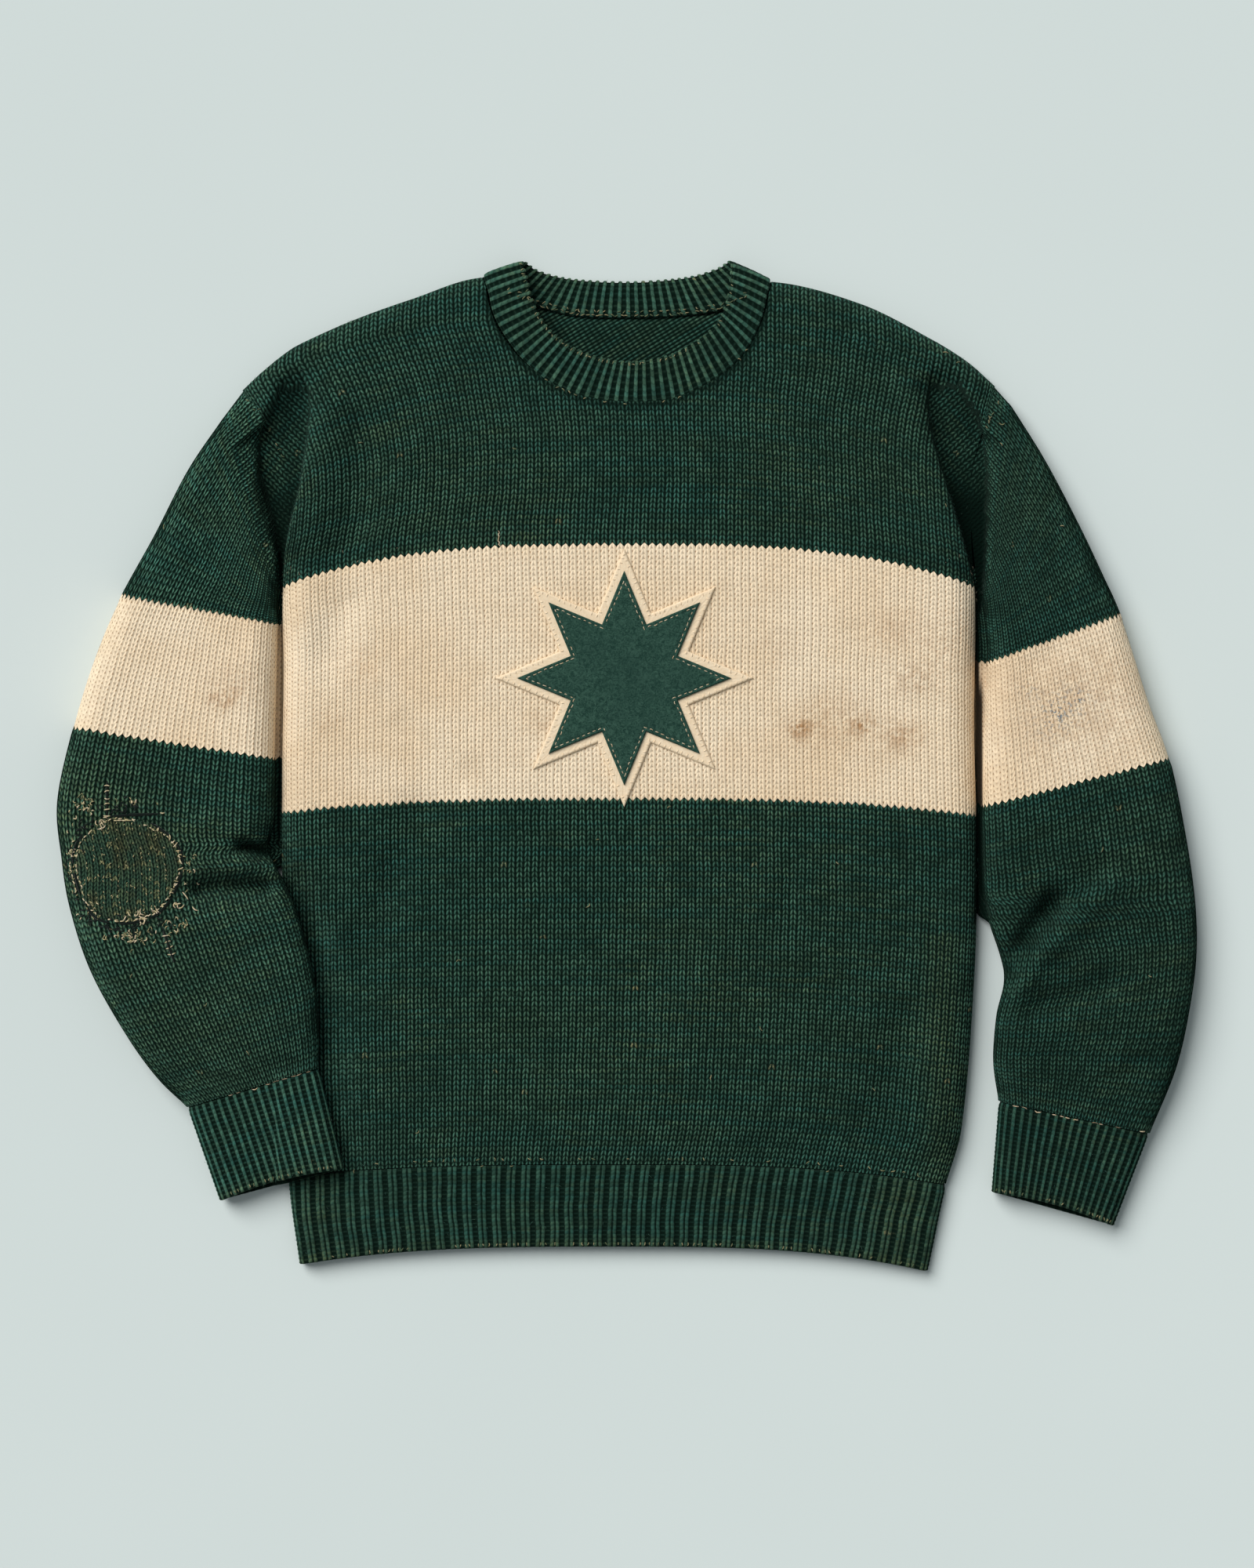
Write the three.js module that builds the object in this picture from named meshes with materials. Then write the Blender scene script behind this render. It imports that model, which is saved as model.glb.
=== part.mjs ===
// A crew-neck wool sweater laid flat on its back, in millimetres, +Z up.
// The origin is the middle of the footprint, on the surface that it lies on.
// +Y runs up to the collar. Left and right are as seen from above, so left is -X.
// The garment is a set of knitted panels, each a thin wall of its own: front, back, two sleeves,
// two cuffs, hem band and neckband, with a two-layer star motif sewn on the chest and a darn on
// the left elbow. A course is a knitted row, named by its height on the centre line.
import * as THREE from "three";

// ---- driving dimensions ----
const KNIT = 2.5; // wall of a stockinette panel
const RIB = 3; // wall of a hem or cuff rib
const BAND = 5; // the neckband is folded double
const SEAM_GAP = 0.5; // space between two panels at a seam
const HEM_SEAM_Y = -286; // centre line, where the hem band is sewn on
const HEM_EDGE_Y = -344; // centre line, lower edge of the hem band
const UNDERARM_Y = 163; // the course that reaches the underarm, on the centre line
const SHOULDER_Y = 320; // the course that reaches the shoulder's tip, on the centre line
const SIDE_ROUNDING = 22; // how far in from a side seam the front has risen to its height
const ROUNDING_PER_LOFT = 1.1; // but on a low stretch, this times its rise above the seam
const SHOULDER_ROUNDING = 16;
const PRESSED_TOP = 10.6; // height of the body where the left forearm lies on it
const FOREARM_REST = 11.6; // underside of the left forearm there
// Where the forearm presses the body down: how far past its inner edge, and the stretch of the body,
// each with the distance over which the pressing eases off.
const PRESSED = { past: 30, sideEase: 28, topY: -42, topEase: 26, endY: -336, endEase: 34 };
// Where the body lifts the forearm: how far before the body's edge, and from which height down.
const LIFTED = { before: 15, sideEase: 13, topY: -58, topEase: 16 };
const SHOULDER_SLANT = 0.93; // cosine of the shoulder's slope
const ARMHOLE_OPENING = 26; // the armhole opens over this much of the body above the underarm
const UNDERARM_DROP = 31; // the underarm lies this far below its course's height on the centre line
const ARMHOLE_GAP = 1.8; // space between the body and a sleeve, which meet on a curve
const SLEEVE_ROUNDING = 0.62; // radius of a sleeve's upper edges, as a share of its loft
const SLEEVE_SIDE = 0.45; // where a sleeve is widest, as a share of its loft
const LEAST_LOFT = 14; // a sleeve's least loft over what it lies on

// ---- how finely the walls are faceted ----
const EDGE_STEPS = [0, 0.5, 2, 5, 10, 17]; // distances in from an edge that turns down
// Shares of the way across a body panel, between the steps at its two sides.
const FRONT_SHARES = [
  0.045, 0.1, 0.15, 0.2, 0.25, 0.285, 0.31, 0.322, 0.34, 0.37, 0.41, 0.455, 0.505,
  0.555, 0.6, 0.64, 0.67, 0.688, 0.705, 0.73, 0.77, 0.815, 0.865, 0.91, 0.955,
];
const BACK_SHARES = [
  0.1, 0.2, 0.28, 0.31, 0.33, 0.36, 0.43, 0.505, 0.58, 0.64, 0.68, 0.702, 0.73, 0.82, 0.91,
];
// Shares of the way up a body panel, below the steps at its top.
const FRONT_ROWS = [
  0, 0.045, 0.11, 0.18, 0.25, 0.32, 0.39, 0.46, 0.53, 0.6, 0.665, 0.725, 0.78, 0.83, 0.88, 0.94, 1,
];
const BACK_ROWS = [0, 0.12, 0.25, 0.4, 0.55, 0.68, 0.75, 0.81, 0.87, 0.94, 1];
const HIGHEST_COURSE = 420; // above every point of a panel's top edge
const COURSE_TOLERANCE = 1e-7;
const HEM_SPANS = 16;
const HEM_ROWS = [HEM_SEAM_Y, (HEM_SEAM_Y + HEM_EDGE_Y) / 2, HEM_EDGE_Y]; // courses of its rings
const SLEEVE_SPANS = 10;
const CUFF_ROWS = [0.008, 0.5, 1]; // shares of the cuff's length, from just below its seam
const BAND_STEPS = 2; // rings for each stated section of the neckband
// The neckband's section: [share of its width from the seam, share of its half thickness].
const BAND_SECTION = [
  [0, 0], [0.08, 0.9], [0.5, 1], [0.92, 0.9], [1, 0], [0.92, -0.9], [0.5, -1], [0.08, -0.9],
];
const STAR_RINGS = [0.35, 0.68, 1];
const DARN_RINGS = [0.4, 0.75, 1];
const DARN_SIDES = 16;

// Half-width lines of the body: [course, x]. Above the underarm they are the armholes.
const BODY_LEFT = [
  [-344, -235], [-286, -243], [-150, -247], [0, -247.5], [100, -246.5], [163, -248.5],
  [200, -243], [240, -243], [280, -255], [300, -265], [320, -276],
];
const BODY_RIGHT = [
  [-344, 216], [-286, 229], [-247, 240], [-141, 249], [-60, 251], [50, 249], [163, 250.5],
  [200, 248], [250, 247.5], [295, 258], [320, 264],
];
// How far a course hangs below its height on the centre line, at each side: [course, drop].
const DROP_LEFT = [[-344, 13], [-286, 9], [-21, 10], [100, 23], [163, 31], [320, 51]];
const DROP_RIGHT = [[-344, 18], [-286, 15], [-21, 12], [100, 23], [163, 31], [320, 48]];
// Shoulder slopes and the front and back neck lines: [x, y].
const SHOULDERS = [
  [-276, 269], [-261, 283], [-242, 298], [-227, 306], [-195, 320], [-156, 334], [-103, 350],
  [103, 347], [168, 331], [218, 306], [245, 289], [264, 272],
];
const NECK_HALF = 103;
const FRONT_NECK = [
  [-103, 349], [-101, 337], [-97.5, 322], [-89, 305], [-74.5, 286.5], [-54, 270.5], [-28, 260],
  [2, 256.5], [34, 259.5], [63, 273.5], [84.5, 292], [96.5, 314.5], [101.5, 334], [103, 347],
];
const BACK_NECK = [
  [-103, 349], [-82, 333], [-63, 327], [-35, 320.5], [0, 319.5], [35, 320.5], [67, 324.5],
  [84, 331], [103, 347],
];
// Height of the front along the centre line: [y, z].
const LOFT = [
  [-362, 12], [-344, 12.5], [-286, 16.5], [-240, 20], [-130, 22.5], [-21, 25], [100, 28],
  [160, 29], [215, 27], [262, 22.5], [310, 19.5], [350, 16],
];
// Height of the side seams: [course, z].
const SEAM_LEFT = [[-344, 5], [-90, 5], [-20, 7], [163, 7], [320, 7]];
const SEAM_RIGHT = [[-344, 4.8], [-286, 4.8], [-180, 7], [163, 7], [320, 7]];
// The largest folds of the front: soft ridges (height above 0) and troughs along a line.
const FRONT_FOLDS = [
  { from: [-233, 262], to: [-252, 200], width: 12, height: -13 },
  { from: [-254, 186], to: [-250, 128], width: 9, height: -15 },
  { from: [-272, 262], to: [-264, 236], width: 13, height: -5 },
  { from: [221, 268], to: [231, 222], width: 11, height: -12 },
  { from: [264, 262], to: [261, 222], width: 13, height: -5 },
  { from: [240, 205], to: [254, 138], width: 11, height: -15 },
  { from: [-212, 262], to: [-224, 168], width: 16, height: 5 },
  { from: [205, 262], to: [224, 160], width: 16, height: 4 },
  { from: [-188, 232], to: [-196, 160], width: 15, height: -3.5 },
  { from: [-150, -36], to: [-208, -185], width: 15, height: -4 },
  { from: [-205, 110], to: [-212, 80], width: 15, height: -3.5 },
  { from: [200, -180], to: [180, -262], width: 14, height: -4 },
  { from: [226, -150], to: [222, -262], width: 12, height: 3 },
  { from: [70, -120], to: [10, -250], width: 20, height: 2 },
];
// The left forearm's inner edge, where it lies on the body: [y, x].
const FOREARM_EDGE = [
  [-330, -203], [-287, -203], [-216, -221], [-154, -224], [-112, -234], [-82, -246], [-62, -262],
];

// Sleeves, from the armhole to the cuff's seam: [outer x, outer y, inner x, inner y, height].
const LEFT_SLEEVE = [
  [-290, 247, -250.5, 126, 21], [-314, 211, -251, 120, 25], [-338, 164, -251, 111, 28],
  [-363, 118, -250.5, 99, 30], [-381, 75, -251.5, 55, 32], [-396, 26, -252.5, 4, 33],
  [-407, -26, -253.5, -40, 34], [-404, -66, -258, -60, 33.5], [-398, -102, -246, -82, 34],
  [-383, -147, -234, -112, 36], [-358, -192, -224, -154, 35], [-336, -223, -221, -188, 31],
  [-315, -244, -221, -216, 24],
];
const RIGHT_SLEEVE = [
  [275, 257, 253.5, 126, 21], [299, 218, 256, 119, 25], [322, 174, 258, 106, 28],
  [340, 136, 259, 90, 30], [354, 104, 258, 71, 31], [373, 45, 255.5, 20, 32],
  [388, 3, 255, -31, 33], [399, -50, 256, -75, 34], [405.5, -95, 259, -108, 34],
  [407, -132, 271, -148, 32], [403, -168, 265, -180, 33], [393, -215, 263, -212, 30],
  [374, -263, 267, -240, 24],
];
// Cuffs: the edge below the sleeve's last ring, as above.
const LEFT_CUFF_EDGE = [-292, -311, -203, -287, 19];
const RIGHT_CUFF_EDGE = [349, -329, 262, -305, 19];
const CUFF_MOUTH_BOW = 4; // the cuff's upper edge curves back from the line between its corners
// Troughs and ridges of the sleeves.
const LEFT_SLEEVE_FOLDS = [
  { from: [-252, -64], to: [-274, -58], width: 7, height: -13 },
  { from: [-250, -77], to: [-302, -68], width: 8, height: 5 },
  { from: [-258, -88], to: [-301, -88], width: 8, height: -11 },
  { from: [-276, -42], to: [-312, -50], width: 13, height: 2.5 },
  { from: [-248, -112], to: [-292, -112], width: 13, height: 3 },
  { from: [-286, 228], to: [-266, 160], width: 12, height: 4.5 },
];
const RIGHT_SLEEVE_FOLDS = [
  { from: [266, -147], to: [304, -100], width: 10, height: -14 },
  { from: [304, -100], to: [338, -74], width: 12, height: -6 },
  { from: [277, -158], to: [300, -127], width: 9, height: 5 },
  { from: [300, -127], to: [345, -85], width: 11, height: 5 },
  { from: [290, -173], to: [340, -159], width: 11, height: -7 },
  { from: [352, -226], to: [380, -206], width: 11, height: -3 },
];
// Neckband: [seam x, y, z, opening x, y, z], mid-thickness, round the neck from the left shoulder.
const NECKBAND = [
  [-102, 351, 11.5, -74, 360.7, 12], [-99, 337, 18, -71, 347.5, 18], [-95.5, 322, 19.5, -68, 334, 20],
  [-87, 306, 20, -62, 321, 21], [-73, 288, 20.5, -52, 308, 22], [-53, 272, 21, -36, 297, 22.5],
  [-28, 262, 21.5, -17, 290.5, 22.5], [2, 258.5, 21.5, 4, 288, 22.5], [34, 261.5, 21.5, 28, 292, 22.5],
  [62, 275, 21, 49, 302, 22.5], [83, 293, 20.5, 64, 316, 22], [95, 315, 19.5, 71, 331, 20.5],
  [100, 334, 18, 73.5, 346.5, 18.5], [102, 348, 11.5, 74, 360.7, 12],
  [88, 334.5, 5.5, 65, 357, 4.5], [67, 326.5, 3.4, 49, 352, 2.7], [35, 322.5, 2.7, 28, 349, 2.6],
  [0, 321.5, 2.6, 0, 347.5, 2.6], [-35, 322.5, 2.7, -28, 348.5, 2.6], [-64, 329, 3.4, -48, 351, 2.7],
  [-86, 336.5, 5.5, -64, 355.5, 4.5],
];
// Star motif: eight points, felt on a backing that shows all round it.
const STAR_POINTS = 8;
const STAR_CENTRE = [-2, 62];
const STAR_REACH = 92;
const STAR_NOTCH = 0.541; // notch distance as a share of the reach
const STAR_BORDER = 6;
const FELT_REACH = STAR_REACH - STAR_BORDER / Math.sin(Math.PI / STAR_POINTS);
const FELT = 1.6;
const SEWN_GAP = 0.5; // space between a sewn-on piece and what it lies on
const FELT_BASE = SEWN_GAP + FELT + SEWN_GAP; // underside of the felt star, above the panel
// Darn: a round of woven mending wool on the left elbow.
const DARN_WALL = 1.2;
const DARN_GAP = 0.9; // space between the darn and the sleeve's facets
const DARN_AT = { station: 7.2, share: 0.343 }; // its middle, along and across the left sleeve
const DARN_REACH = { station: 0.95, share: 0.264 }; // its radius of 37 mm, in the same measures
const TANGENT_STEP = 0.02; // in stations and shares, for the sleeve's slope under the darn

// ---- curves and easing ----
const clamp = (value, low, high) => Math.min(high, Math.max(low, value));
const mix = (a, b, t) => a + (b - a) * t;
const ease = (t) => {
  const c = clamp(t, 0, 1);
  return c * c * (3 - 2 * c);
};
// A quarter circle's rise: 0 at the edge, 1 once the distance reaches the radius.
const rise = (distance, radius) => {
  const c = clamp(1 - distance / radius, 0, 1);
  return Math.sqrt(1 - c * c);
};

// Smooth value at t through knots [t, value...].
function along(knots, t) {
  const last = knots.length - 1;
  let i = 0;
  while (i < last - 1 && t > knots[i + 1][0]) i += 1;
  const [a, b] = [knots[i], knots[i + 1]];
  const span = b[0] - a[0];
  const u = clamp((t - a[0]) / span, 0, 1);
  const slope = (k) => {
    const low = knots[Math.max(k - 1, 0)];
    const high = knots[Math.min(k + 1, last)];
    return low.slice(1).map((v, n) => (high[n + 1] - v) / (high[0] - low[0]));
  };
  const [sa, sb] = [slope(i), slope(i + 1)];
  const values = a.slice(1).map((va, n) => {
    const vb = b[n + 1];
    const [u2, u3] = [u * u, u * u * u];
    return (2 * u3 - 3 * u2 + 1) * va + (u3 - 2 * u2 + u) * span * sa[n]
      + (3 * u2 - 2 * u3) * vb + (u3 - u2) * span * sb[n];
  });
  return values.length === 1 ? values[0] : values;
}

// What a list of folds adds to the height at a point.
function foldHeight(folds, x, y) {
  let sum = 0;
  for (const fold of folds) {
    const [ax, ay] = fold.from;
    const [dx, dy] = [fold.to[0] - ax, fold.to[1] - ay];
    const t = clamp(((x - ax) * dx + (y - ay) * dy) / (dx * dx + dy * dy), 0, 1);
    const away = Math.hypot(x - ax - t * dx, y - ay - t * dy) / fold.width;
    sum += fold.height * Math.exp(-away * away);
  }
  return sum;
}

// ---- the body's form ----
const bodyLeft = (course) => along(BODY_LEFT, course);
const bodyRight = (course) => along(BODY_RIGHT, course);
const shoulderLine = (x) => along(SHOULDERS, x);

// A point of the body's plan, from the share of the way across and the course.
function bodyPlan(share, course) {
  const x = mix(bodyLeft(course), bodyRight(course), share);
  const [left, right] = [Math.max(0, 1 - 2 * share), Math.max(0, 2 * share - 1)];
  const drop = along(DROP_LEFT, course) * left ** 3 + along(DROP_RIGHT, course) * right ** 3;
  return [x, course - drop];
}

// How much the forearm presses the body down at a point, 0 to 1.
function pressing(x, y) {
  const beside = ease((along(FOREARM_EDGE, y) + PRESSED.past - x) / PRESSED.sideEase);
  const below = ease((PRESSED.topY - y) / PRESSED.topEase);
  return beside * below * ease((y - PRESSED.endY) / PRESSED.endEase);
}

function loft(x, y) {
  const free = along(LOFT, y) + foldHeight(FRONT_FOLDS, x, y);
  return mix(free, PRESSED_TOP, pressing(x, y));
}

// Heights of the body's two outer faces at a point of a course. gap is left between them at a seam.
function bodyFaces(x, y, course, gap = 0) {
  const [left, right] = [bodyLeft(course), bodyRight(course)];
  const nearLeft = x - left < right - x;
  const inset = Math.max(0, nearLeft ? x - left : right - x);
  const seam = along(nearLeft ? SEAM_LEFT : SEAM_RIGHT, course);
  const armhole = ease((course - UNDERARM_Y) / ARMHOLE_OPENING);
  const height = loft(x, y);
  const rounding = clamp(ROUNDING_PER_LOFT * (height - seam), seam, SIDE_ROUNDING);
  const fromShoulder = Math.max(0, SHOULDER_SLANT * (shoulderLine(x) - y));
  const above = mix(rise(inset, rounding), 1, armhole) * rise(fromShoulder, SHOULDER_ROUNDING);
  const below = mix(rise(inset, seam), 1, armhole) * rise(fromShoulder, seam);
  return { top: mix(seam + gap / 2, height, above), bottom: mix(seam - gap / 2, 0, below) };
}

// ---- shells ----
// Builds the closed wall whose outer face is a grid of points and whose inner face lies a wall inside.
// facing is +1 where columns x rows points outwards. level(row, column) marks points on a seam between
// an upper and a lower panel, where the wall runs in level. Every other edge is cut square across.
function shell(grid, wall, { ring = false, facing = 1, level = () => false }) {
  const [rows, cols] = [grid.length, grid[0].length];
  const at = (r, c) => grid[clamp(r, 0, rows - 1)][ring ? (c + cols) % cols : clamp(c, 0, cols - 1)];
  const between = (a, b) => b.clone().sub(a);
  const alongEdge = (r, c) => {
    if (!ring && (c === 0 || c === cols - 1)) return between(at(r - 1, c), at(r + 1, c));
    if (r > 0 && r < rows - 1) return undefined;
    if (!ring) return between(at(r, c - 1), at(r, c + 1));
    const half = cols / 2; // the lower half of a ring comes back under the upper half
    const i = c <= half ? c : cols - c;
    return between(at(r, Math.max(i - 1, 0)), at(r, Math.min(i + 1, half)));
  };
  const inner = grid.map((row, r) => row.map((point, c) => {
    const across = between(at(r, c - 1), at(r, c + 1));
    const normal = across.cross(between(at(r - 1, c), at(r + 1, c))).multiplyScalar(facing);
    const edge = alongEdge(r, c);
    if (level(r, c)) {
      normal.z = 0;
    } else if (edge) {
      const outOfCut = new THREE.Vector3(-edge.y, edge.x, 0).normalize();
      normal.addScaledVector(outOfCut, -normal.dot(outOfCut));
    }
    return point.clone().addScaledVector(normal.normalize(), -wall);
  }));
  const positions = [...grid, ...inner].flat().flatMap((p) => [p.x, p.y, p.z]);
  const offset = rows * cols;
  const faces = [];
  const quad = (a, b, c, d) => faces.push(a, b, c, a, c, d);
  const id = (r, c) => r * cols + (c % cols);
  const lastCol = ring ? cols : cols - 1;
  for (let r = 0; r < rows - 1; r += 1) {
    for (let c = 0; c < lastCol; c += 1) {
      quad(id(r, c), id(r, c + 1), id(r + 1, c + 1), id(r + 1, c));
      quad(...[id(r, c), id(r + 1, c), id(r + 1, c + 1), id(r, c + 1)].map((i) => offset + i));
    }
    if (!ring) {
      quad(id(r, 0), id(r + 1, 0), offset + id(r + 1, 0), offset + id(r, 0));
      const [low, high] = [id(r, cols - 1), id(r + 1, cols - 1)];
      quad(high, low, offset + low, offset + high);
    }
  }
  for (let c = 0; c < lastCol; c += 1) {
    quad(id(0, c + 1), id(0, c), offset + id(0, c), offset + id(0, c + 1));
    quad(id(rows - 1, c), id(rows - 1, c + 1), offset + id(rows - 1, c + 1), offset + id(rows - 1, c));
  }
  if (facing < 0) faces.reverse();
  return solid(positions, faces);
}

function solid(positions, faces) {
  const geometry = new THREE.BufferGeometry();
  geometry.setAttribute("position", new THREE.Float32BufferAttribute(positions, 3));
  geometry.setIndex(faces);
  geometry.computeVertexNormals();
  return geometry;
}

const range = (count) => Array.from({ length: count }, (_, i) => i);

// ---- body panels ----
// The course at which a line up the body reaches the panel's top edge.
function courseAtTop(share, topLine) {
  let [low, high] = [0, HIGHEST_COURSE];
  while (high - low > COURSE_TOLERANCE) {
    const middle = (low + high) / 2;
    const [x, y] = bodyPlan(share, middle);
    if (y < topLine(x)) low = middle;
    else high = middle;
  }
  return low;
}

function bodyPanel(face, neckLine, shares, rowShares) {
  const topLine = (x) => (Math.abs(x) < NECK_HALF ? along(neckLine, x) : shoulderLine(x));
  const edge = EDGE_STEPS.at(-1);
  const columnOf = [
    ...EDGE_STEPS.map((step) => ({ step, from: 0 })),
    ...shares.map((share) => ({ share })),
    ...[...EDGE_STEPS].reverse().map((step) => ({ step, from: 1 })),
  ];
  const shareAt = (column, course) => {
    const width = bodyRight(course) - bodyLeft(course);
    if (column.step === undefined) return mix(edge / width, 1 - edge / width, column.share);
    return column.from === 0 ? column.step / width : 1 - column.step / width;
  };
  const start = HEM_SEAM_Y + SEAM_GAP;
  const columns = columnOf.map((column) => {
    const end = courseAtTop(shareAt(column, SHOULDER_Y), topLine);
    const courses = [
      ...rowShares.map((t) => mix(start, end - edge, t)),
      ...[...EDGE_STEPS].reverse().slice(1).map((step) => end - step),
    ];
    return courses.map((course) => {
      const [x, y] = bodyPlan(shareAt(column, course), course);
      const level = Math.min(y, topLine(x));
      return new THREE.Vector3(x, level, bodyFaces(x, level, course, SEAM_GAP)[face]);
    });
  });
  const rows = columns[0].length;
  const grid = range(rows).map((r) => columns.map((column) => column[r]));
  const lastCol = columns.length - 1;
  const level = (r, c) => {
    const onShoulder = r === rows - 1 && Math.abs(grid[r][c].x) > NECK_HALF;
    const onSide = (c === 0 || c === lastCol) && grid[r][c].y < UNDERARM_Y - UNDERARM_DROP;
    return onShoulder || onSide;
  };
  return shell(grid, KNIT, { facing: face === "top" ? 1 : -1, level });
}

// ---- hem band, sleeves and cuffs: tubes whose rings go over the top and back underneath ----

// A ring of the body at one course, from the left side over the front and back underneath.
function hemRing(course) {
  const width = bodyRight(course) - bodyLeft(course);
  const edge = EDGE_STEPS.at(-1) / width;
  const near = EDGE_STEPS.slice(1).map((step) => step / width);
  const middle = range(HEM_SPANS + 1).map((i) => mix(edge, 1 - edge, i / HEM_SPANS)).slice(1, -1);
  const across = [...near, ...middle, ...near.map((share) => 1 - share).reverse()];
  const point = (share, face) => {
    const [x, y] = bodyPlan(share, course);
    return new THREE.Vector3(x, y, bodyFaces(x, y, course)[face]);
  };
  return [
    point(0, "top"),
    ...across.map((share) => point(share, "top")),
    point(1, "top"),
    ...across.reverse().map((share) => point(share, "bottom")),
  ];
}

// How high the floor or the body under it lifts a sleeve's underside at a point.
function lift(x, y, overBody) {
  if (!overBody) return 0;
  const over = ease((x - bodyLeft(y) + LIFTED.before) / LIFTED.sideEase);
  return FOREARM_REST * over * ease((LIFTED.topY - y) / LIFTED.topEase);
}

// A point of a sleeve or cuff, a share of the way across one station, on its upper or lower face.
function sleevePoint([outerX, outerY, innerX, innerY, height], share, face, shape) {
  const { folds = [], overBody = false, bow = 0 } = shape;
  const x = mix(outerX, innerX, share);
  const y = mix(outerY, innerY, share) + (face === "top" ? bow * 4 * share * (1 - share) : 0);
  const low = lift(x, y, overBody);
  const full = Math.max(height + foldHeight(folds, x, y), low + LEAST_LOFT);
  const inset = Math.min(share, 1 - share) * Math.hypot(innerX - outerX, innerY - outerY);
  const side = mix(low, full, SLEEVE_SIDE);
  const above = rise(inset, SLEEVE_ROUNDING * (full - low));
  const z = face === "top" ? mix(side, full, above) : mix(side, low, rise(inset, side - low));
  return new THREE.Vector3(x, y, z);
}

// A ring over the top from the outer edge to the inner one, and back underneath.
function ringOf(point) {
  const shares = range(SLEEVE_SPANS + 1).map((i) => (1 - Math.cos((Math.PI * i) / SLEEVE_SPANS)) / 2);
  return [
    ...shares.map((share) => point(share, "top")),
    ...shares.slice(1, -1).reverse().map((share) => point(share, "bottom")),
  ];
}

// The sleeve's first ring, which follows the body's armhole edge, just clear of it.
function armholeRing(side) {
  return ringOf((share, face) => {
    const course = mix(SHOULDER_Y, UNDERARM_Y, share);
    const [x, y] = bodyPlan(side < 0 ? 0 : 1, course);
    return new THREE.Vector3(x + side * ARMHOLE_GAP, y, bodyFaces(x, y, course)[face]);
  });
}

function sleeve(side, stations, folds) {
  const shape = { folds, overBody: side < 0 };
  const rings = stations.map((station) =>
    ringOf((share, face) => sleevePoint(station, share, face, shape)));
  return shell([armholeRing(side), ...rings], KNIT, { ring: true, facing: side });
}

function cuff(side, seam, edge) {
  const rings = CUFF_ROWS.map((t) => {
    const station = seam.map((value, n) => mix(value, edge[n], t));
    const shape = { overBody: side < 0, bow: CUFF_MOUTH_BOW * t };
    return ringOf((share, face) => sleevePoint(station, share, face, shape));
  });
  return shell(rings, RIB, { ring: true, facing: side });
}

// ---- neckband: a folded band round the neck, over the front and flat on the back ----
function neckband() {
  const ringed = NECKBAND.map((values, i) => [i, ...values]);
  const count = NECKBAND.length;
  const knots = [
    ...ringed.slice(-2).map(([i, ...values]) => [i - count, ...values]),
    ...ringed,
    ...ringed.slice(0, 3).map(([i, ...values]) => [i + count, ...values]),
  ];
  const turns = range(count * BAND_STEPS).map((i) => i / BAND_STEPS);
  const edges = turns.map((t) => {
    const v = along(knots, t);
    return [new THREE.Vector3(...v.slice(0, 3)), new THREE.Vector3(...v.slice(3))];
  });
  const rings = edges.map(([seam, opening], i) => {
    const next = edges[(i + 1) % edges.length];
    const previous = edges[(i + edges.length - 1) % edges.length];
    const round = next[0].clone().add(next[1]).sub(previous[0]).sub(previous[1]);
    const across = opening.clone().sub(seam);
    const normal = round.clone().cross(across).normalize();
    const out = across.clone().normalize();
    return BAND_SECTION.map(([share, height]) => {
      const rounded = clamp(share, 0, 1);
      return seam.clone().addScaledVector(across, rounded)
        .addScaledVector(out, (share - rounded) * BAND / 2)
        .addScaledVector(normal, (height * BAND) / 2);
    });
  });
  return closedLoop(rings);
}

// A solid from rings that close on the first one.
function closedLoop(rings) {
  const [count, size] = [rings.length, rings[0].length];
  const positions = rings.flat().flatMap((p) => [p.x, p.y, p.z]);
  const id = (r, c) => (r % count) * size + (c % size);
  const faces = range(count).flatMap((r) => range(size).flatMap((c) => [
    id(r, c), id(r + 1, c), id(r + 1, c + 1), id(r, c), id(r + 1, c + 1), id(r, c + 1),
  ]));
  return solid(positions, faces);
}

// ---- pieces sewn on a panel: slabs made from the panel's own points, moved out ----

// A slab over rings of plan points about a middle, between two heights above the panel.
function slab(rings, surface, from, to) {
  const size = rings[0].length - 1;
  const middle = rings[0][size];
  const plan = [middle, ...rings.flatMap((ring) => ring.slice(0, size))];
  const levels = [from, to].map((height) => plan.map((point) => surface(point, height)));
  const offset = levels[0].length;
  const id = (ring, c) => 1 + ring * size + (c % size);
  const faces = [];
  for (let c = 0; c < size; c += 1) {
    faces.push(0, id(0, c + 1), id(0, c));
    faces.push(offset, offset + id(0, c), offset + id(0, c + 1));
    for (let ring = 0; ring < rings.length - 1; ring += 1) {
      const [a, b, d, e] = [id(ring, c), id(ring, c + 1), id(ring + 1, c + 1), id(ring + 1, c)];
      faces.push(a, b, d, a, d, e);
      faces.push(offset + a, offset + d, offset + b, offset + a, offset + e, offset + d);
    }
    const [a, b] = [id(rings.length - 1, c), id(rings.length - 1, c + 1)];
    faces.push(a, b, offset + b, a, offset + b, offset + a);
  }
  return solid(levels.flat().flatMap((p) => [p.x, p.y, p.z]), faces);
}

// Rings of the star, from the middle outwards.
function starRings(reach) {
  return STAR_RINGS.map((share) => [
    ...range(2 * STAR_POINTS).map((i) => {
      const radius = share * reach * (i % 2 ? STAR_NOTCH : 1);
      const angle = (Math.PI * i) / STAR_POINTS + Math.PI / 2;
      return [STAR_CENTRE[0] + radius * Math.cos(angle), STAR_CENTRE[1] + radius * Math.sin(angle)];
    }),
    STAR_CENTRE,
  ]);
}

const onFront = ([x, y], height) => new THREE.Vector3(x, y, loft(x, y) + height);

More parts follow.
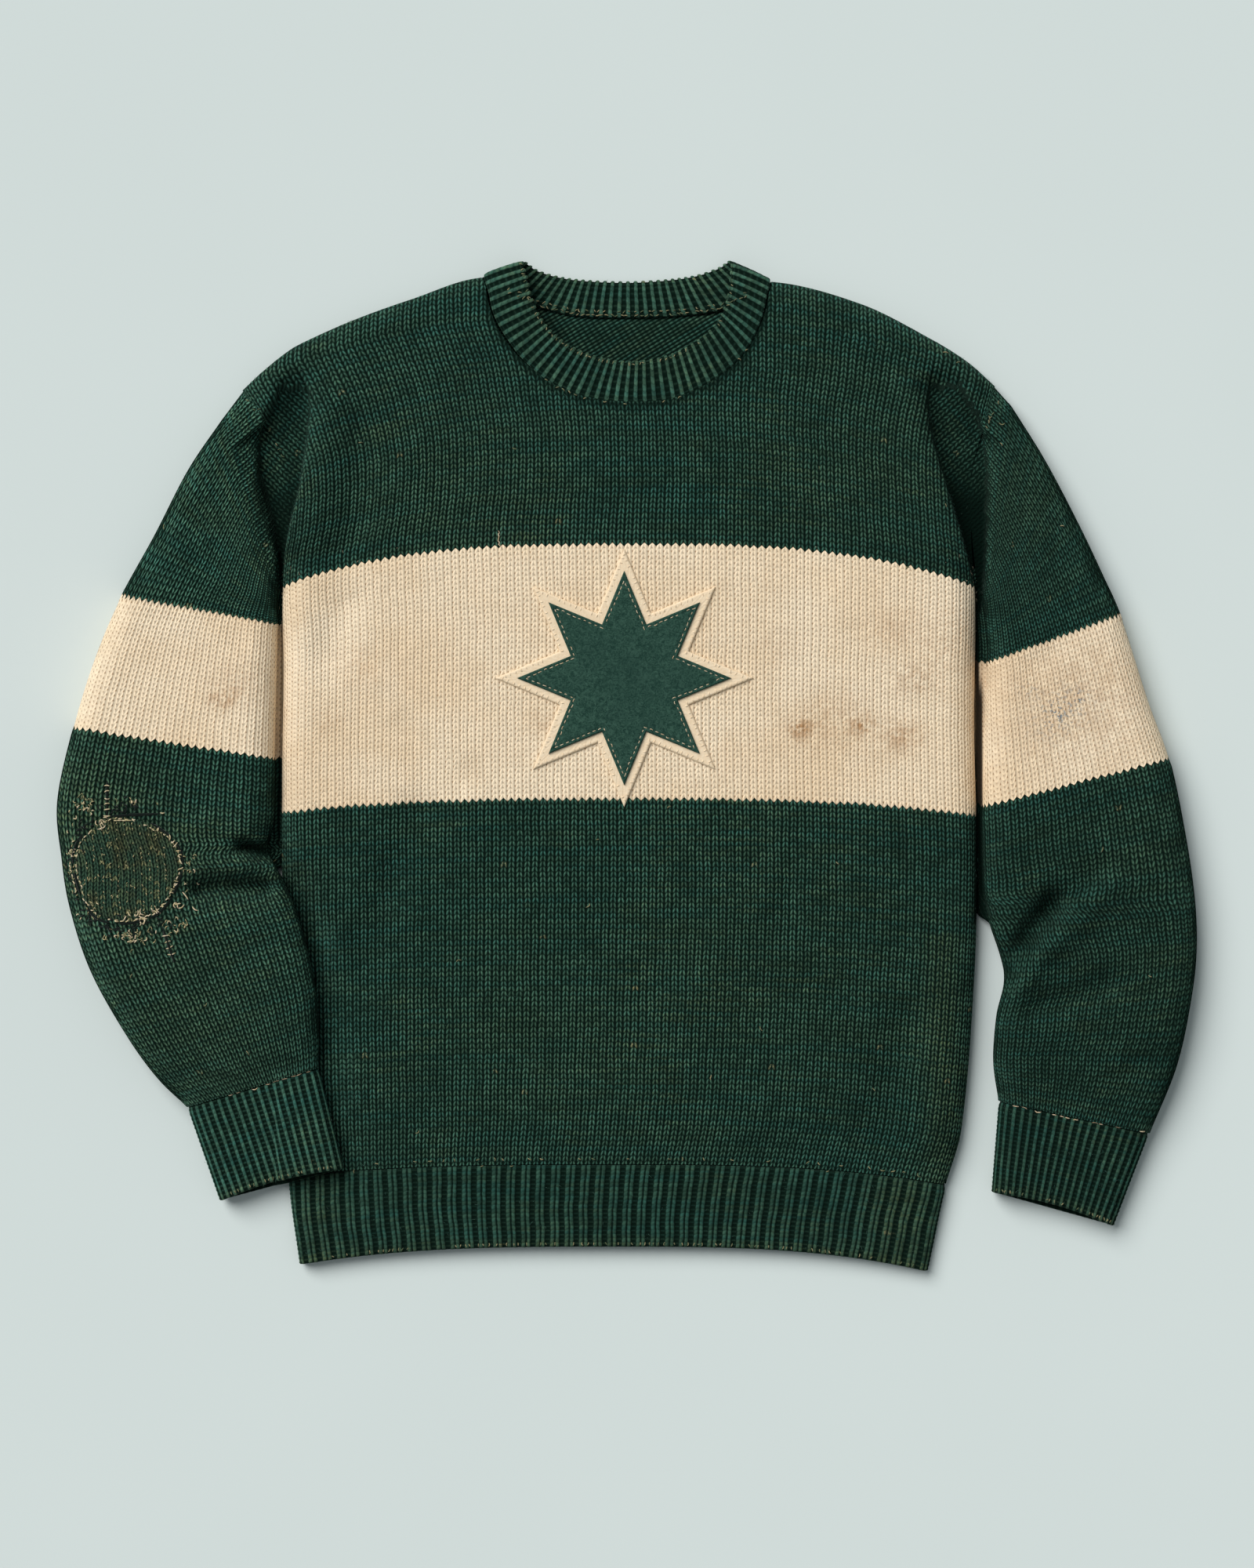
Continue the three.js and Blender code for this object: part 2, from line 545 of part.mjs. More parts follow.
// Rings of the darn, as stations and shares of the left sleeve.
function darnRings() {
  return DARN_RINGS.map((reach) => [
    ...range(DARN_SIDES).map((i) => {
      const angle = (2 * Math.PI * i) / DARN_SIDES;
      return [
        DARN_AT.station + reach * DARN_REACH.station * Math.cos(angle),
        DARN_AT.share + reach * DARN_REACH.share * Math.sin(angle),
      ];
    }),
    [DARN_AT.station, DARN_AT.share],
  ]);
}

function onLeftSleeve([station, share], height) {
  const knots = LEFT_SLEEVE.map((values, i) => [i, ...values]);
  const shape = { folds: LEFT_SLEEVE_FOLDS, overBody: true };
  const point = (t, q) => sleevePoint(along(knots, t), q, "top", shape);
  const step = TANGENT_STEP;
  const downSleeve = point(station + step, share).sub(point(station - step, share));
  const across = point(station, share + step).sub(point(station, share - step));
  return point(station, share).addScaledVector(downSleeve.cross(across).normalize(), height);
}

// ---- materials and the garment ----
const green = () => new THREE.MeshStandardMaterial({ color: 0x1f4a3b, roughness: 0.95, metalness: 0 });
const cream = () => new THREE.MeshStandardMaterial({ color: 0xdcc7a6, roughness: 0.95, metalness: 0 });
const mending = () => new THREE.MeshStandardMaterial({ color: 0x3c3d28, roughness: 1, metalness: 0 });

const pieces = [
  ["front_panel", bodyPanel("top", FRONT_NECK, FRONT_SHARES, FRONT_ROWS), green()],
  ["back_panel", bodyPanel("bottom", BACK_NECK, BACK_SHARES, BACK_ROWS), green()],
  ["sleeve_left", sleeve(-1, LEFT_SLEEVE, LEFT_SLEEVE_FOLDS), green()],
  ["sleeve_right", sleeve(1, RIGHT_SLEEVE, RIGHT_SLEEVE_FOLDS), green()],
  ["cuff_left", cuff(-1, LEFT_SLEEVE.at(-1), LEFT_CUFF_EDGE), green()],
  ["cuff_right", cuff(1, RIGHT_SLEEVE.at(-1), RIGHT_CUFF_EDGE), green()],
  ["hem_band", shell(HEM_ROWS.map(hemRing), RIB, { ring: true, facing: -1 }), green()],
  ["neckband", neckband(), green()],
  ["motif_backing", slab(starRings(STAR_REACH), onFront, SEWN_GAP, SEWN_GAP + FELT), cream()],
  ["motif_felt", slab(starRings(FELT_REACH), onFront, FELT_BASE, FELT_BASE + FELT), green()],
  ["elbow_darn", slab(darnRings(), onLeftSleeve, DARN_GAP, DARN_GAP + DARN_WALL), mending()],
];

const group = new THREE.Group();
for (const [name, geometry, material] of pieces) {
  const mesh = new THREE.Mesh(geometry, material);
  mesh.name = name;
  group.add(mesh);
}

export default group;
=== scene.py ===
"""A darned wool sweater laid flat on its back: knitted panels, ribs, felt star, darn, threads and fuzz.

Forms are worked out in millimetres, in the row frame, and scaled to metres when a mesh is made.
Left and right are as seen from above, so left is -X. A course is a knitted row, named by its height on
the centre line, and a wale is a column of stitches.
"""
import math

import bpy
import numpy as np
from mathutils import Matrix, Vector
from mathutils.bvhtree import BVHTree

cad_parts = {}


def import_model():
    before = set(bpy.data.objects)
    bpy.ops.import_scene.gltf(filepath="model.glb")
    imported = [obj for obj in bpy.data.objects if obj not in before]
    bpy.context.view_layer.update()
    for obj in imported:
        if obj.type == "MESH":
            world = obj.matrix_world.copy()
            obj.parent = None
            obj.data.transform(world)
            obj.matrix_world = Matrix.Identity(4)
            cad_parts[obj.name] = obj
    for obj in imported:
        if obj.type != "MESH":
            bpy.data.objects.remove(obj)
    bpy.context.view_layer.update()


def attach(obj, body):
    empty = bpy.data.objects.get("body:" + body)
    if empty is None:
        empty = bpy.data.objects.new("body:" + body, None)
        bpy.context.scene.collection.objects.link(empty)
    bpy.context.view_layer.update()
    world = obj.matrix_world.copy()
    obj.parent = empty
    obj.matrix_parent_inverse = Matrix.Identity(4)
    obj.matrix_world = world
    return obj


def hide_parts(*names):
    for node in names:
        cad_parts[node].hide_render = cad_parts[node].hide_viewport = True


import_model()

MM = 0.001
random = np.random.default_rng(11)

# ---- stitches ----
WALE = 5.6
COURSE = 3.7
COLUMNS_PER_WALE = 6
LEG_SLANT = 0.75  # how many courses a stitch's leg climbs from the wale's edge to its middle
BACK_WALES = 123  # wales across the flat back
NECK_TUCK = 3.0  # how far a panel goes on under the neckband
SEWN_IN = 0.9  # how far a sewn edge dips into its seam

# ---- the body, as in the part: [course, x], [course, drop], [x, y], [y, z], [course, z] ----
HEM_SEAM_Y = -286
HEM_EDGE_Y = -344
UNDERARM_Y = 163
SHOULDER_Y = 320
SIDE_ROUNDING = 22
ROUNDING_PER_LOFT = 1.1
SHOULDER_ROUNDING = 16
PRESSED_TOP = 10.6
FOREARM_REST = 11.6
PRESSED = {"past": 30, "side_ease": 28, "top_y": -42, "top_ease": 26, "end_y": -336, "end_ease": 34}
LIFTED = {"before": 15, "side_ease": 13, "top_y": -58, "top_ease": 16}
SHOULDER_SLANT = 0.93
ARMHOLE_OPENING = 26
ARMHOLE_TUCK = 2.0  # how far a sleeve's cap goes in under the body's edge
ARMHOLE_DIP = 0.8  # how much lower than the body its top starts there
SEAM_GAP = 0.5
SLEEVE_ROUNDING = 0.62
SLEEVE_SIDE = 0.45
LEAST_LOFT = 14
NECK_HALF = 103
BODY_HALF = 250
KNIT = 2.5
RIB = 3.0
BODY_LEFT = [
    [-344, -235], [-286, -243], [-150, -247], [0, -247.5], [100, -246.5], [163, -248.5],
    [200, -243], [240, -243], [280, -255], [300, -265], [320, -276],
]
BODY_RIGHT = [
    [-344, 216], [-286, 229], [-247, 240], [-141, 249], [-60, 251], [50, 249], [163, 250.5],
    [200, 248], [250, 247.5], [295, 258], [320, 264],
]
DROP_LEFT = [[-344, 13], [-286, 9], [-21, 10], [100, 23], [163, 31], [320, 51]]
DROP_RIGHT = [[-344, 18], [-286, 15], [-21, 12], [100, 23], [163, 31], [320, 48]]
SHOULDERS = [
    [-276, 269], [-261, 283], [-242, 298], [-227, 306], [-195, 320], [-156, 334], [-103, 350],
    [103, 347], [168, 331], [218, 306], [245, 289], [264, 272],
]
FRONT_NECK = [
    [-103, 349], [-101, 337], [-97.5, 322], [-89, 305], [-74.5, 286.5], [-54, 270.5], [-28, 260],
    [2, 256.5], [34, 259.5], [63, 273.5], [84.5, 292], [96.5, 314.5], [101.5, 334], [103, 347],
]
BACK_NECK = [
    [-103, 349], [-82, 333], [-63, 327], [-35, 320.5], [0, 319.5], [35, 320.5], [67, 324.5],
    [84, 331], [103, 347],
]
LOFT = [
    [-362, 12], [-344, 12.5], [-286, 16.5], [-240, 20], [-130, 22.5], [-21, 25], [100, 28],
    [160, 29], [215, 27], [262, 22.5], [310, 19.5], [350, 16],
]
SEAM_LEFT = [[-344, 5], [-90, 5], [-20, 7], [163, 7], [320, 7]]
SEAM_RIGHT = [[-344, 4.8], [-286, 4.8], [-180, 7], [163, 7], [320, 7]]
FOREARM_EDGE = [
    [-330, -203], [-287, -203], [-216, -221], [-154, -224], [-112, -234], [-82, -246], [-62, -262],
]
# Folds of the front: from [x, y] to [x, y], width and height. The first ones are the part's own.
FRONT_FOLDS = [
    ((-233, 262), (-252, 200), 12, -13),
    ((-254, 186), (-250, 128), 9, -15),
    ((-272, 262), (-264, 236), 13, -5),
    ((221, 268), (231, 222), 11, -12),
    ((264, 262), (261, 222), 13, -5),
    ((240, 205), (254, 138), 11, -15),
    ((-212, 262), (-224, 168), 16, 5),
    ((205, 262), (224, 160), 16, 4),
    ((-188, 232), (-196, 160), 15, -3.5),
    ((-150, -36), (-208, -185), 15, -4),
    ((-205, 110), (-212, 80), 15, -3.5),
    ((200, -180), (180, -262), 14, -4),
    ((226, -150), (222, -262), 12, 3),
    ((70, -120), (10, -250), 20, 2),
]
FINE_FOLDS = [
    ((-176, 60), (-118, 8), 9, 1.3),
    ((-160, 30), (-120, -14), 8, -1.1),
    ((112, -44), (100, -96), 10, 1.2),
    ((128, -40), (112, -104), 8, -1.0),
    ((150, 120), (205, 60), 10, 1.1),
    ((160, 96), (196, 40), 8, -1.0),
    ((-150, 236), (-168, 176), 9, 1.2),
    ((-60, -170), (-88, -250), 12, -1.1),
    ((120, -206), (86, -262), 10, 1.1),
    ((-40, 196), (60, 190), 12, -0.8),
]

# Where body and sleeve fold in along the armhole: [y, left bank x, right bank x, how far it sinks].
VALLEYS = {-1: [
    [60, -251, -247, 1], [128, -251, -245.5, 1], [150, -253, -243, 1], [171, -257, -239, 1],
    [199, -265, -232, 1], [225, -267, -228, 0.95], [240, -265, -226, 0.8], [262, -254, -225, 0.45],
    [285, -246, -228, 0],
], 1: [
    [60, 249, 256, 1], [111, 249.5, 257, 1], [127, 248, 258.5, 1], [150, 241.6, 260, 1],
    [170, 236, 260.5, 1], [199, 227, 261, 1], [225, 219, 260, 0.92], [247, 214, 255, 0.75],
    [262, 213, 246, 0.5], [285, 214, 234, 0],
]}
VALLEY_FLOOR = 4.0
VALLEY_BANK = 4.5
VALLEY_START = 60  # y at which the valleys begin to sink
VALLEY_WALES = 42  # degrees from level at which the wales run in a valley's bottom, where the cloth gathers
# Courses counted on in a valley's bottom, so that the stripe doesn't reach it.
FRONT_VALLEY_COURSE = 80
SLEEVE_VALLEY_COURSE = -250

# ---- sleeves and cuffs, -1 for the left and 1 for the right: [outer x, outer y, inner x, inner y,
# height] from the armhole down ----
SLEEVES = {-1: [
    [-290, 247, -250.5, 126, 21], [-314, 211, -251, 120, 25], [-338, 164, -251, 111, 28],
    [-363, 118, -250.5, 99, 30], [-381, 75, -251.5, 55, 32], [-396, 26, -252.5, 4, 33],
    [-407, -26, -253.5, -40, 34], [-404, -66, -258, -60, 33.5], [-398, -102, -246, -82, 34],
    [-383, -147, -234, -112, 36], [-358, -192, -224, -154, 35], [-336, -223, -221, -188, 31],
    [-315, -244, -221, -216, 24],
], 1: [
    [275, 257, 253.5, 126, 21], [299, 218, 256, 119, 25], [322, 174, 258, 106, 28],
    [340, 136, 259, 90, 30], [354, 104, 258, 71, 31], [373, 45, 255.5, 20, 32],
    [388, 3, 255, -31, 33], [399, -50, 256, -75, 34], [405.5, -95, 259, -108, 34],
    [407, -132, 271, -148, 32], [403, -168, 265, -180, 33], [393, -215, 263, -212, 30],
    [374, -263, 267, -240, 24],
]}
CUFF_EDGES = {-1: [-292, -311, -203, -287, 19], 1: [349, -329, 262, -305, 19]}
CUFF_MOUTH_BOW = 4
STRIPES = {-1: (3, 5), 1: (4, 6)}  # stations of the sleeve between which the cream stripe runs
CAP_ROWS = 9
SLEEVE_WALES = 58
BODY_STRIPE = (-21, 158)  # courses
SLEEVE_FOLDS = {-1: [
    ((-252, -64), (-274, -58), 5, -18),
    ((-250, -77), (-302, -68), 7, 5),
    ((-258, -88), (-303, -88), 8, -12),
    ((-276, -42), (-312, -50), 13, 2.5),
    ((-248, -112), (-292, -112), 13, 3),
    ((-286, 228), (-266, 160), 12, 4.5),
    ((-300, 150), (-276, 90), 9, -1.2),
    ((-330, -160), (-268, -172), 10, -1.4),
], 1: [
    ((266, -147), (304, -100), 10, -14),
    ((304, -100), (338, -74), 12, -6),
    ((277, -158), (300, -127), 8, 5),
    ((300, -127), (345, -85), 11, 5),
    ((290, -173), (340, -159), 11, -7),
    ((352, -226), (380, -206), 11, -3),
    ((290, 70), (330, 110), 9, -1.2),
    ((300, -52), (352, -40), 10, -1.4),
]}

# ---- neckband: [seam x, y, z, opening x, y, z], mid-thickness, round from the left shoulder ----
NECKBAND = [
    [-102, 351, 11.5, -74, 360.7, 12], [-99, 337, 18, -71, 347.5, 18], [-95.5, 322, 19.5, -68, 334, 20],
    [-87, 306, 20, -62, 321, 21], [-73, 288, 20.5, -52, 308, 22], [-53, 272, 21, -36, 297, 22.5],
    [-28, 262, 21.5, -17, 290.5, 22.5], [2, 258.5, 21.5, 4, 288, 22.5], [34, 261.5, 21.5, 28, 292, 22.5],
    [62, 275, 21, 49, 302, 22.5], [83, 293, 20.5, 64, 316, 22], [95, 315, 19.5, 71, 331, 20.5],
    [100, 334, 18, 73.5, 346.5, 18.5], [102, 348, 11.5, 74, 360.7, 12],
    [88, 334.5, 5.5, 65, 357, 4.5], [67, 326.5, 3.4, 49, 352, 2.7], [35, 322.5, 2.7, 28, 349, 2.6],
    [0, 321.5, 2.6, 0, 347.5, 2.6], [-35, 322.5, 2.7, -28, 348.5, 2.6], [-64, 329, 3.4, -48, 351, 2.7],
    [-86, 336.5, 5.5, -64, 355.5, 4.5],
]
FRONT_SECTIONS = 13  # the first sections lie on the front, up to the right shoulder
BAND = 5
BAND_RIBS = 76
BAND_COLUMNS = 8
BAND_ROUND = 44
BAND_COURSES = 9

# ---- ribs: depth, courses, and cords, [middle, half width] in shares of the rib's pitch ----
RIB_DEPTH = 1.4
CUFF_COURSES = 21
HEM_COURSES = 19
PAIRED_CORDS = ((0.22, 0.20), (0.58, 0.18))
SINGLE_CORD = ((0.34, 0.32),)
COLLAR_CORDS = ((0.32, 0.31),)

# ---- star motif and darn ----
STAR_POINTS = 8
STAR_CENTRE = np.array([-2.0, 62.0])
STAR_REACH = 92
STAR_NOTCH = 0.541
STAR_BORDER = 6
FELT_REACH = STAR_REACH - STAR_BORDER / math.sin(math.pi / STAR_POINTS)
FELT = 1.6
STAR_EDGE_COLUMNS = 32
STAR_RINGS = 34
STITCH_PITCH = 4.2
SEWN_INSET = 2.4  # how far inside the green felt's edge its running stitch lies
WHIPPED_INSET = 1.7  # the same for the whipping on the cream felt
DARN_CENTRE = np.array([-355.9, -73.9])
DARN_RADIUS = 37


# ---- curves and easing ----
def mix(a, b, t):
    return a + (b - a) * t


def ease(t):
    c = np.clip(t, 0, 1)
    return c * c * (3 - 2 * c)


def rise(distance, radius):
    """A quarter circle's rise: 0 at the edge, 1 once the distance reaches the radius."""
    c = np.clip(1 - distance / radius, 0, 1)
    return np.sqrt(1 - c * c)


def bell(distance, width):
    """1 where the distance is 0, dying away past the width."""
    return np.exp(-((distance / width) ** 2))


def along(knots, t):
    """Smooth values at t through knots, rows of [t, value...]."""
    knots = np.asarray(knots, float)
    t = np.asarray(t, float)
    last = len(knots) - 1
    i = np.clip(np.searchsorted(knots[:, 0], t) - 1, 0, last - 1)
    places = np.arange(last + 1)
    low, high = knots[np.maximum(places - 1, 0)], knots[np.minimum(places + 1, last)]
    slopes = (high[:, 1:] - low[:, 1:]) / (high[:, :1] - low[:, :1])
    span = (knots[i + 1, 0] - knots[i, 0])[..., None]
    u = np.clip((t[..., None] - knots[i, :1]) / span, 0, 1)
    u2, u3 = u * u, u * u * u
    values = (
        (2 * u3 - 3 * u2 + 1) * knots[i, 1:]
        + (u3 - 2 * u2 + u) * span * slopes[i]
        + (3 * u2 - 2 * u3) * knots[i + 1, 1:]
        + (u3 - u2) * span * slopes[i + 1]
    )
    return values[..., 0] if values.shape[-1] == 1 else values


def run_of(line):
    """The length along a line up to each of its points."""
    return np.concatenate([[0], np.cumsum(np.linalg.norm(np.diff(line, axis=0), axis=1))])


def at_run(line, run, places):
    """Points of a line at given lengths along it."""
    return np.stack([np.interp(places, run, line[:, k]) for k in range(line.shape[1])], -1)


def unit(vectors, least=1e-9):
    return vectors / np.maximum(np.linalg.norm(vectors, axis=-1, keepdims=True), least)


def line_distance(x, y, start, end):
    """Distance in plan from points to the line between start and end."""
    (ax, ay), (bx, by) = start, end
    dx, dy = bx - ax, by - ay
    t = np.clip(((x - ax) * dx + (y - ay) * dy) / (dx * dx + dy * dy), 0, 1)
    return np.hypot(x - ax - t * dx, y - ay - t * dy)


def route_distance(x, y, route):
    return np.minimum.reduce([line_distance(x, y, a, b) for a, b in zip(route, route[1:])])


def fold_height(folds, x, y):
    total = np.zeros(np.broadcast(x, y).shape)
    for start, end, width, height in folds:
        total += height * bell(line_distance(x, y, start, end), width)
    return total


# ---- the body's form ----
def body_left(course):
    return along(BODY_LEFT, course)


def body_right(course):
    return along(BODY_RIGHT, course)


def body_plan(share, course):
    x = mix(body_left(course), body_right(course), share)
    left, right = np.maximum(0, 1 - 2 * share), np.maximum(0, 2 * share - 1)
    drop = along(DROP_LEFT, course) * left**3 + along(DROP_RIGHT, course) * right**3
    return x, course - drop


def pressing(x, y):
    """How much the forearm presses the body down at a point, 0 to 1."""
    beside = ease((along(FOREARM_EDGE, y) + PRESSED["past"] - x) / PRESSED["side_ease"])
    below = ease((PRESSED["top_y"] - y) / PRESSED["top_ease"])
    return beside * below * ease((y - PRESSED["end_y"]) / PRESSED["end_ease"])


def loft(x, y):
    free = along(LOFT, y) + fold_height(FRONT_FOLDS + FINE_FOLDS, x, y)
    return mix(free, PRESSED_TOP, pressing(x, y))


def sink(x, y, z):
    """Heights of an upper face once it folds in along the armholes."""
    for side, valley in VALLEYS.items():
        left, right, depth = np.moveaxis(along(valley, y), -1, 0)
        bank = np.minimum(VALLEY_BANK, (right - left) / 2)
        inside = ease((x - left) / bank) * ease((right - x) / bank) * depth * (side * x > 0)
        inside = inside * ease((y - VALLEY_START) / 40)
        z = mix(z, np.minimum(z, VALLEY_FLOOR), inside)
    return z


def in_valley(x, y):
    """-1 on the bottom of the left valley, 1 on the right one's and 0 elsewhere."""
    total = np.zeros(np.shape(x))
    for side, valley in VALLEYS.items():
        left, right, depth = np.moveaxis(along(valley, y), -1, 0)
        bank = 0.6 * VALLEY_BANK
        bottom = (x > left + bank) & (x < right - bank) & (depth > 0.3) & (y > VALLEY_START + 50)
        total += side * bottom
    return total


def valley_uv(uv, x, y, first_course):
    """Stitch coordinates turned to run at a slant on the bottoms of the valleys."""
    side = in_valley(x, y)
    tilt = math.radians(VALLEY_WALES)
    wale = (y * math.cos(tilt) - side * x * math.sin(tilt)) / WALE
    course = (y * math.sin(tilt) + side * x * math.cos(tilt)) / COURSE + first_course
    slanted = np.stack([wale, course], -1)
    return np.where((side != 0)[..., None], slanted, uv)


def body_point(share, course, face, gap=0.0):
    """A point of the body's outer face, top or bottom, with a gap between the two at their seams."""
    x, y = body_plan(share, course)
    left, right = body_left(course), body_right(course)
    near_left = x - left < right - x
    inset = np.maximum(0, np.where(near_left, x - left, right - x))
    seam = np.where(near_left, along(SEAM_LEFT, course), along(SEAM_RIGHT, course))
    armhole = ease((course - UNDERARM_Y) / ARMHOLE_OPENING)
    from_shoulder = np.maximum(0, SHOULDER_SLANT * (along(SHOULDERS, x) - y))
    if face == "top":
        height = loft(x, y)
        rounding = np.clip(ROUNDING_PER_LOFT * (height - seam), seam, SIDE_ROUNDING)
        up = mix(rise(inset, rounding), 1, armhole) * rise(from_shoulder, SHOULDER_ROUNDING)
        z = sink(x, y, mix(seam + gap / 2, height, up))
    else:
        down = mix(rise(inset, seam), 1, armhole) * rise(from_shoulder, seam)
        z = mix(seam - gap / 2, 0, down)
    return np.stack([x, y, z], -1)


# ---- the sleeves' form ----
def lift(x, y, over_body):
    """How high the floor or the body under it lifts a sleeve's underside at a point."""
    if not over_body:
        return np.zeros_like(x)
    over = ease((x - body_left(y) + LIFTED["before"]) / LIFTED["side_ease"])
    return FOREARM_REST * over * ease((LIFTED["top_y"] - y) / LIFTED["top_ease"])


def sleeve_point(station, share, upper, folds=(), over_body=False, bow=0.0):
    """Points of a sleeve or cuff, a share of the way across a station, on its upper or lower face."""
    outer_x, outer_y, inner_x, inner_y, height = np.moveaxis(np.asarray(station, float), -1, 0)
    x = mix(outer_x, inner_x, share)
    y = mix(outer_y, inner_y, share) + np.where(upper, bow * 4 * share * (1 - share), 0)
    low = lift(x, y, over_body)
    full = np.maximum(height + fold_height(folds, x, y), low + LEAST_LOFT)
    inset = np.minimum(share, 1 - share) * np.hypot(inner_x - outer_x, inner_y - outer_y)
    side = mix(low, full, SLEEVE_SIDE)
    top = mix(side, full, rise(inset, SLEEVE_ROUNDING * (full - low)))
    under = mix(side, low, rise(inset, side - low))
    return np.stack([x, y, np.where(upper, top, under)], -1)


def ring_places(samples):
    """Shares and faces of points round a ring, over the top from the outer edge and back underneath."""
    turn = np.arange(samples) / samples * 2
    share = (1 - np.cos(math.pi * turn)) / 2
    return share, turn < 1


def armhole_ring(side, samples):
    """The body's edge at the armhole, where the sleeve's cap starts."""
    share, upper = ring_places(samples)
    course = mix(SHOULDER_Y, UNDERARM_Y, share)
    edge = np.full(samples, 0.0 if side < 0 else 1.0)
    ring = np.where(upper[:, None], body_point(edge, course, "top"), body_point(edge, course, "bottom"))
    ring[:, 0] -= side * ARMHOLE_TUCK
    ring[:, 2] -= np.where(upper, ARMHOLE_DIP, 0)
    return ring


def even_rings(rings, columns):
    """Each ring's points moved round to stand evenly along it."""
    out = np.empty((len(rings), columns, 3))
    for r, ring in enumerate(rings):
        closed = np.vstack([ring, ring[:1]])
        run = run_of(closed)
        out[r] = at_run(closed, run, np.arange(columns) / columns * run[-1])
    return out


# ---- meshes ----
def grid_normals(points, ring=False):
    """Unit normals of a grid of points, rows x columns."""
    if ring:
        across = np.roll(points, -1, 1) - np.roll(points, 1, 1)
    else:
        across = np.gradient(points, axis=1)
    return unit(np.cross(across, np.gradient(points, axis=0)))


def make_mesh(name, points, faces, corner_uv=None, marks=None):
    """A smooth mesh of quads, where a quad whose corner is repeated becomes a triangle. Nothing in it
    reaches below the floor."""
    points = np.stack([points[:, 0], points[:, 1], np.maximum(points[:, 2], 0)], -1)
    a, b, c, d = faces.T
    triangle = (a == b) | (b == c) | (c == d) | (d == a)
    good = ~((a == b) & (c == d)) & ~((a == d) & (b == c)) & ~((a == b) & (b == c)) & ~((c == d) & (d == a))
    faces, triangle = faces[good], triangle[good]
    repeats = faces == np.roll(faces, 1, 1)
    keep = ~(repeats & triangle[:, None])
    loops = faces[keep]
    counts = keep.sum(1)
    starts = np.concatenate([[0], np.cumsum(counts)[:-1]])
    mesh = bpy.data.meshes.new(name)
    mesh.vertices.add(len(points))
    mesh.vertices.foreach_set("co", (points * MM).astype(np.float32).ravel())
    mesh.loops.add(len(loops))
    mesh.loops.foreach_set("vertex_index", loops.astype(np.int32))
    mesh.polygons.add(len(faces))
    mesh.polygons.foreach_set("loop_start", starts.astype(np.int32))
    mesh.polygons.foreach_set("use_smooth", np.ones(len(faces), bool))
    if corner_uv is not None:
        uv = mesh.uv_layers.new(name="knit")
        uv.data.foreach_set("uv", corner_uv[good][keep].astype(np.float32).ravel())
    if marks is not None:
        layer = mesh.attributes.new("marks", "FLOAT_COLOR", "POINT")
        layer.data.foreach_set("color", marks.astype(np.float32).ravel())
    mesh.update(calc_edges=True)
    mesh.validate()
    thing = bpy.data.objects.new(name, mesh)
    bpy.context.scene.collection.objects.link(thing)
    return thing


def grid_faces(rows, columns, ring=False, flip=False):
    """Corner rows and columns of each quad of a grid, in order."""
    r, c = np.meshgrid(np.arange(rows - 1), np.arange(columns if ring else columns - 1), indexing="ij")
    corners = [(r, c), (r, c + 1), (r + 1, c + 1), (r + 1, c)]
    if flip:
        corners.reverse()
    return np.stack([np.stack([i.ravel(), j.ravel()], -1) for i, j in corners], 1)


def grid_mesh(name, points, uv, ring=False, flip=False, last_row=None, marks=None):
    """A mesh from a grid of points. uv has one more column than a ring's points. Past its last row, a
    column's points are one."""
    rows, columns = points.shape[:2]
    corners = grid_faces(rows, columns, ring, flip)
    r, c = corners[..., 0], corners[..., 1]
    wrapped = c % columns
    if last_row is not None:
        r = np.minimum(r, last_row[wrapped])
    faces = r * columns + wrapped
    used, inverse = np.unique(faces, return_inverse=True)
    faces = inverse.reshape(faces.shape)
    flat_marks = None if marks is None else marks.reshape(-1, 4)[used]
    return make_mesh(name, points.reshape(-1, 3)[used], faces, uv[r, c], flat_marks)


def once_round(uv, stitches):
    """uv with its first column again at the end, moved on by the stitches round."""
    return np.concatenate([uv, uv[:, :1] + [stitches, 0]], 1)


def closed_mesh(name, points, uv, marks, flip):
    """A mesh from a grid that closes both ways. uv has one more row and column than the points."""
    rows, columns = points.shape[:2]
    corners = grid_faces(rows + 1, columns, ring=True, flip=flip)
    r, c = corners[..., 0], corners[..., 1]
    faces = (r % rows) * columns + c % columns
    return make_mesh(name, points.reshape(-1, 3), faces, uv[r, c], marks.reshape(-1, 4))


# ---- relief of the stitches ----
def wale_relief(u):
    """Height of a stockinette wale across its width: two round legs with grooves between them."""
    turn = 2 * math.pi * u
    return -0.22 * np.cos(turn) - 0.5 * np.cos(2 * turn) - 0.2


def cord(u, middle, half):
    """A round cord across a rib: 1 on its crest and 0 past its sides."""
    away = np.abs((u - middle + 0.5) % 1 - 0.5) / half
    return np.sqrt(np.clip(1 - away**2, 0, 1))


def rib_relief(u, v, depth, cords):
    """Height of a rib: twisted cords and a sunk purl valley with a soft rung for each course."""
    height = 0.15 * cord(u, 0.87, 0.14) * (1 + 0.5 * np.cos(2 * math.pi * v))
    for k, (middle, half) in enumerate(cords):
        rung = 1 + 0.12 * np.cos(2 * math.pi * (v + 0.5 * k))
        height = np.maximum(height, cord(u, middle, half) * rung)
    return depth * (height - 0.7)


def no_marks(shape):
    return np.zeros((*shape, 4))


